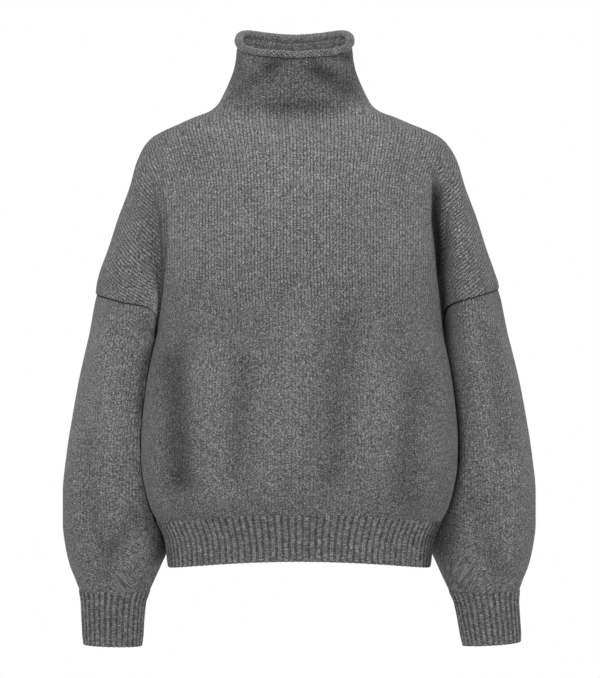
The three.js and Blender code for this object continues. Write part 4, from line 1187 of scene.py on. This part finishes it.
def band_section(path, t, top, end, closed):
    """Points of a band, in rows down its outside, round its lip and up its inside. Each t has a column."""
    outer = np.array([path_points(path, t, mix(top, end, k / RIB_ROWS)) for k in range(RIB_ROWS + 1)])
    quads = grid_faces(RIB_ROWS + 1, len(t), wrap=closed)
    normals = corner_normals(outer.reshape(-1, 3), quads).reshape(outer.shape)
    normals[..., 2] = 0
    normals /= np.linalg.norm(normals, axis=2, keepdims=True)
    half = RIB_WALL / 2
    in_by, down_by = half * (1 - np.cos(LIP_ANGLES)), half * np.sin(LIP_ANGLES)
    lip = [outer[-1] - normals[-1] * far - (0, 0, down) for far, down in zip(in_by, down_by)]
    inner = outer - normals * RIB_WALL
    return np.concatenate([outer, np.array(lip), inner[::-1]])


def band_faces(rows, columns, closed):
    """Faces round the section. A band that isn't closed to a ring gets two ends."""
    here = np.arange(columns if closed else columns - 1)
    after = (here + 1) % columns
    last = (rows - 1) * columns
    parts = [grid_faces(rows, columns, wrap=closed), np.stack([last + here, here, after, last + after], 1)]
    pairs = [(k, rows - 1 - k) for k in range(rows // 2)]
    for column, turn in () if closed else ((0, 1), (columns - 1, -1)):
        for (a, b), (c, d) in zip(pairs, pairs[1:]):
            parts.append(np.array([[a, b, d, c]])[:, ::turn] * columns + column)
        a, b = pairs[-1]
        if b - a == 2:
            tip = np.array([[a, b, a + 1]])[:, ::turn] * columns + column
            parts.append(np.hstack([tip, tip[:, -1:]]))
    return np.concatenate(parts)


def band_coordinates(section, quads, ribs):
    """Coordinates of the faces' corners: across in ribs and down in courses."""
    position = np.arange(section.shape[1]) / POINTS_PER_RIB
    depth = np.concatenate([[0], np.cumsum(np.linalg.norm(np.diff(section[:, 0], axis=0), axis=1))])
    flat = np.stack(np.broadcast_arrays(position[None, :], depth[:, None] / COURSE), -1).reshape(-1, 2)
    uv = flat[quads]
    jump = uv[..., 0].max(axis=1) - uv[..., 0].min(axis=1) > SEAM_RIBS
    uv[jump, :, 0] = np.where(uv[jump, :, 0] < SEAM_RIBS, uv[jump, :, 0] + ribs, uv[jump, :, 0])
    return uv


def band_shade(section, closed):
    rows, columns = section.shape[:2]
    shade = np.repeat(np.where(np.arange(rows) > RIB_ROWS + LIP_ROWS, RIB_INSIDE_SHADE, 0.0), columns)
    if closed:
        return shade
    z = section[..., 2].ravel()
    x = section[..., 0].ravel() - sway(z)["x"]
    from_edge = np.clip((trunk(z)["edge"] - np.abs(x)) / RIB_SIDE_REACH, 0, 1)
    return shade + np.where(x > 0, RIB_SIDE_SHADE[LEFT], RIB_SIDE_SHADE[RIGHT]) * (1 - smooth(from_edge))


def add_rib_band(name, path, pitch, top_z, end_z, closed):
    """A ribbed band between two heights, given as functions of the path's values."""
    middle = float(np.mean(top_z(np.array([0.5])) + end_z(np.array([0.5]))) / 2)
    t, ribs = spaced_columns(path, pitch, middle)
    if closed:
        t = t[:-1]
    section = band_section(path, t, top_z(t), end_z(t), closed)
    rows, columns = section.shape[:2]
    quads = band_faces(rows, columns, closed)
    uv = band_coordinates(section, quads, ribs)
    faces = [list(dict.fromkeys(q)) for q in quads.tolist()]
    mesh = bpy.data.meshes.new(name)
    mesh.from_pydata((section.reshape(-1, 3) * MM).tolist(), [], faces)
    corner = np.concatenate([uv[k, : len(f)] for k, f in enumerate(faces)])
    layer = mesh.uv_layers.new(name="stitches")
    layer.data.foreach_set("uv", corner.astype(np.float32).ravel())
    rise, reverse = np.zeros(rows), np.zeros(rows)
    rise[: RIB_ROWS + 1] = 1
    rise[RIB_ROWS - 2 : RIB_ROWS + 1] = RISE_AT_LIP
    rise[RIB_ROWS + 1 : RIB_ROWS + 1 + LIP_ROWS] = np.cos(LIP_ANGLES / 2) * RISE_ON_LIP
    reverse[RIB_ROWS + 1 :] = 1
    add_painted_shade(mesh, band_shade(section, closed))
    for label, values in (
            ("rib", np.tile(np.arange(columns) / POINTS_PER_RIB, rows)),
            ("lift", np.repeat(rise, columns)), ("purl", np.repeat(reverse, columns))):
        mesh.attributes.new(label, "FLOAT", "POINT").data.foreach_set("value", values.astype(np.float32))
    mesh.shade_smooth()
    mesh.materials.append(rib_wool)
    thing = bpy.data.objects.new(name, mesh)
    bpy.context.scene.collection.objects.link(thing)
    apply_tree(thing, rib_relief, {"Material": rib_wool})
    thing.data.set_sharp_from_angle(angle=math.radians(75))
    print(name, "has", ribs, "ribs and", len(thing.data.polygons), "faces")
    return thing


def hem_band(name, face):
    path = trunk_path(face)
    return add_rib_band(name, path, RIB_PITCH_HEM, lambda t: hem_z(face, path(t)[2]) + HEM_RIB_HEIGHT - 0.3,
                        lambda t: hem_z(face, path(t)[2]), False)


def cuff_band(name, side):
    path = arm_path(side)
    return add_rib_band(name, path, RIB_PITCH_CUFF, lambda t: np.full(len(t), CUFF_TOP_Z - 0.3),
                        lambda t: CUFF_END_Z + CUFF_TILT[side] * np.clip(path(t)[2] - 2, 0, 1), True)


hem_front = hem_band("front_hem_rib", FRONT)
hem_back = hem_band("back_hem_rib", BACK)
cuff_left = cuff_band("left_cuff_rib", LEFT)
cuff_right = cuff_band("right_cuff_rib", RIGHT)

# %% [markdown]
# ## Purl stitches on the curl
# Where the collar's edge curls over, the purl side shows as rows of small bumps. They catch the light, so
# they are real shapes here. A tree of nodes puts beads of yarn at even steps along each row of the curl,
# turned to its surface. They tilt one way and the other in turn, and every second row is half a step on.

# %% Purl beads
BEAD = (4.0, 1.7, 1.4)  # length round the neck, height and thickness, in millimetres
BEAD_ROWS, BEAD_STEP = 9, 3.3  # a step is in millimetres round the neck
BEADS_FROM, BEADS_TO = ROLL_FROM + 22, 190  # degrees round the curl of the first and the last row
BEAD_SINK = 0.1
BEAD_TILT = 36  # degrees, to one side and the other in turn


def bead_tree():
    tree, given, result = new_tree("Purl beads", [
        ("Length", "NodeSocketFloat", BEAD[0] * MM), ("Height", "NodeSocketFloat", BEAD[1] * MM),
        ("Thickness", "NodeSocketFloat", BEAD[2] * MM), ("Unevenness", "NodeSocketFloat", 0.18),
        ("Seed", "NodeSocketInt", 5), ("Material", "NodeSocketMaterial", None)])
    s = Shader(tree)

    def direction(label):
        made = s.node("GeometryNodeInputNamedAttribute", {"Name": label}, data_type="FLOAT_VECTOR")
        return made.outputs["Attribute"]

    ball = s.node("GeometryNodeMeshUVSphere", {"Segments": 8, "Rings": 5, "Radius": 0.5}).outputs["Mesh"]
    size = s.node("ShaderNodeCombineXYZ", {
        0: given.outputs["Length"], 1: given.outputs["Height"], 2: given.outputs["Thickness"]}).outputs[0]
    bead = s.node("GeometryNodeTransform", {"Geometry": ball, "Scale": size}).outputs[0]
    facing = s.node("FunctionNodeAxesToRotation", {0: direction("outward"), 1: direction("around")},
                    primary_axis="Z", secondary_axis="X").outputs[0]
    least = s.math("SUBTRACT", 1.0, given.outputs["Unevenness"])
    most = s.math("ADD", 1.0, given.outputs["Unevenness"])
    scale = s.node("FunctionNodeRandomValue", data_type="FLOAT")
    tree.links.new(least, scale.inputs[2])
    tree.links.new(most, scale.inputs[3])
    tree.links.new(given.outputs["Seed"], scale.inputs["Seed"])
    placed = s.node("GeometryNodeInstanceOnPoints", {
        "Points": given.outputs["Geometry"], "Instance": bead, "Rotation": facing, "Scale": scale.outputs[1]})
    real = s.node("GeometryNodeRealizeInstances", {0: placed.outputs[0]})
    soft = s.node("GeometryNodeSetShadeSmooth", {"Geometry": real.outputs[0]})
    painted = s.node("GeometryNodeSetMaterial", {
        "Geometry": soft.outputs[0], "Material": given.outputs["Material"]})
    tree.links.new(painted.outputs[0], result.inputs[0])
    return tree


def add_roll_beads():
    middle, outward, radii = roll_frame()
    ring = np.concatenate([middle, middle[:1]])
    far = np.concatenate([[0], np.cumsum(np.linalg.norm(np.diff(ring, axis=0), axis=1))])
    count = 2 * round(far[-1] / BEAD_STEP / 2)
    ways, sizes = np.concatenate([outward, outward[:1]]), np.append(radii[:, 0], radii[0, 0])
    spots, outs, rounds = [], [], []
    for row in range(BEAD_ROWS):
        degrees = mix(BEADS_FROM, BEADS_TO, row / (BEAD_ROWS - 1))
        a = math.radians(degrees)
        at = (np.arange(count) + 0.5 * (row % 2)) / count * far[-1]
        centre = np.stack([np.interp(at, far, ring[:, k]) for k in range(3)], 1)
        level = np.stack([np.interp(at, far, ways[:, k]) for k in range(3)], 1)
        level /= np.linalg.norm(level, axis=1, keepdims=True)
        out = level * math.cos(a) + np.array([0, 0, math.sin(a)])
        spots.append(centre + out * (np.interp(at, far, sizes) - BEAD_SINK)[:, None])
        outs.append(out)
        tilt = math.radians(BEAD_TILT) * np.where(np.arange(count) % 2, 1, -1)[:, None]
        around = np.stack([-level[:, 1], level[:, 0], level[:, 2]], 1)
        rounds.append(around * np.cos(tilt) + np.cross(out, around) * np.sin(tilt))
    mesh = bpy.data.meshes.new("collar_edge_stitches")
    mesh.from_pydata((np.concatenate(spots) * MM).tolist(), [], [])
    for label, values in (("outward", outs), ("around", rounds)):
        mesh.attributes.new(label, "FLOAT_VECTOR", "POINT").data.foreach_set(
            "vector", np.concatenate(values).astype(np.float32).ravel())
    thing = bpy.data.objects.new("collar_edge_stitches", mesh)
    bpy.context.scene.collection.objects.link(thing)
    apply_tree(thing, bead_tree(), {"Material": yarn_wool})
    print("the curl has", BEAD_ROWS, "rows of", count, "beads, with", len(thing.data.polygons), "faces")
    return thing


roll_beads = add_roll_beads()

# %% [markdown]
# ## Light
# Product pictures of dark knitwear are lit softly from above and from the front, on white, so that folds show
# as gentle shades. A white world gives the white ground. It would light the wool too evenly, so other
# rays see a dimmer world, and a large key light from the upper left gives the folds their direction.

# %% World and lights
WORLD_SEEN, WORLD_LIGHT = 1.0, 0.75


def build_world():
    world = bpy.data.worlds.new("studio")
    bpy.context.scene.world = world
    world.use_nodes = True
    world.node_tree.nodes.clear()
    s = Shader(world.node_tree)
    seen = s.node("ShaderNodeLightPath").outputs["Is Camera Ray"]
    strength = s.remap(seen, 0.0, 1.0, WORLD_LIGHT, WORLD_SEEN)
    sky = s.node("ShaderNodeBackground", {"Color": (1, 1, 1, 1), "Strength": strength})
    output = s.node("ShaderNodeOutputWorld")
    world.node_tree.links.new(sky.outputs[0], output.inputs["Surface"])


def area_light(name, place, aim, size, watts):
    data = bpy.data.lights.new(name, "AREA")
    data.shape, data.size, data.energy = "DISK", size, watts
    lamp = bpy.data.objects.new(name, data)
    lamp.location = place
    lamp.rotation_mode = "QUATERNION"
    lamp.rotation_quaternion = (Vector(aim) - Vector(place)).to_track_quat("-Z", "Y")
    bpy.context.scene.collection.objects.link(lamp)
    return lamp


build_world()
key = area_light("key", place=(-1.1, -2.6, 2.2), aim=(0, 0, -0.25), size=1.6, watts=64)
fill = area_light("fill", place=(1.5, -3.0, 0.8), aim=(0, 0, -0.3), size=2.2, watts=38)
bpy.context.scene.view_settings.view_transform = "Standard"
print("lights:", key.name, key.data.energy, "W and", fill.name, fill.data.energy, "W")

# %% [markdown]
# ## Floor
# The sweater is shown as worn, so it hangs clear of the ground. A plain pale floor below it catches
# light from any side. It ends behind the garment, where the straight front view doesn't reach it.

# %% Floor
FLOOR_Z = -0.95
FLOOR_SIDE, FLOOR_NEAR, FLOOR_FAR = 3, -3.5, 1.4


def add_floor():
    mesh = bpy.data.meshes.new("floor")
    near = [(-FLOOR_SIDE, FLOOR_NEAR, FLOOR_Z), (FLOOR_SIDE, FLOOR_NEAR, FLOOR_Z)]
    far = [(FLOOR_SIDE, FLOOR_FAR, FLOOR_Z), (-FLOOR_SIDE, FLOOR_FAR, FLOOR_Z)]
    mesh.from_pydata(near + far, [], [(0, 1, 2, 3)])
    material = bpy.data.materials.new("pale floor")
    material.use_nodes = True
    surface = material.node_tree.nodes["Principled BSDF"]
    surface.inputs["Base Color"].default_value = (0.8, 0.8, 0.8, 1)
    surface.inputs["Roughness"].default_value = 0.7
    mesh.materials.append(material)
    thing = bpy.data.objects.new("floor", mesh)
    bpy.context.scene.collection.objects.link(thing)
    return thing


floor = add_floor()
print("floor at", FLOOR_Z, "m")

# %% [markdown]
# ## Hand the pieces over
# Each piece rides on the garment's one body and stands for its CAD node. A table lists the size each was
# knitted to.

# %% Ride and replace
CUTS = [  # piece, node, slot, flat width and length in metres, flat area in square metres
    (front, "front", "knit", (0.80, 0.60), 0.30),
    (back, "back", "knit", (0.80, 0.60), 0.30),
    (sleeve_left, "sleeve_left", "knit", (0.38, 0.39), 0.115),
    (sleeve_right, "sleeve_right", "knit", (0.38, 0.39), 0.115),
    (collar, "collar", "knit", (0.48, 0.13), None),
    (hem_front, "hem_rib_front", "rib", (0.45, 0.062), None),
    (hem_back, "hem_rib_back", "rib", (0.45, 0.062), None),
    (cuff_left, "cuff_left", "rib", (0.23, 0.073), None),
    (cuff_right, "cuff_right", "rib", (0.23, 0.073), None),
]
for piece, node, slot, flat, area in CUTS:
    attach(piece, "root")
    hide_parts(node)
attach(roll_beads, "root")
print(len(CUTS), "pieces stand for their CAD nodes")
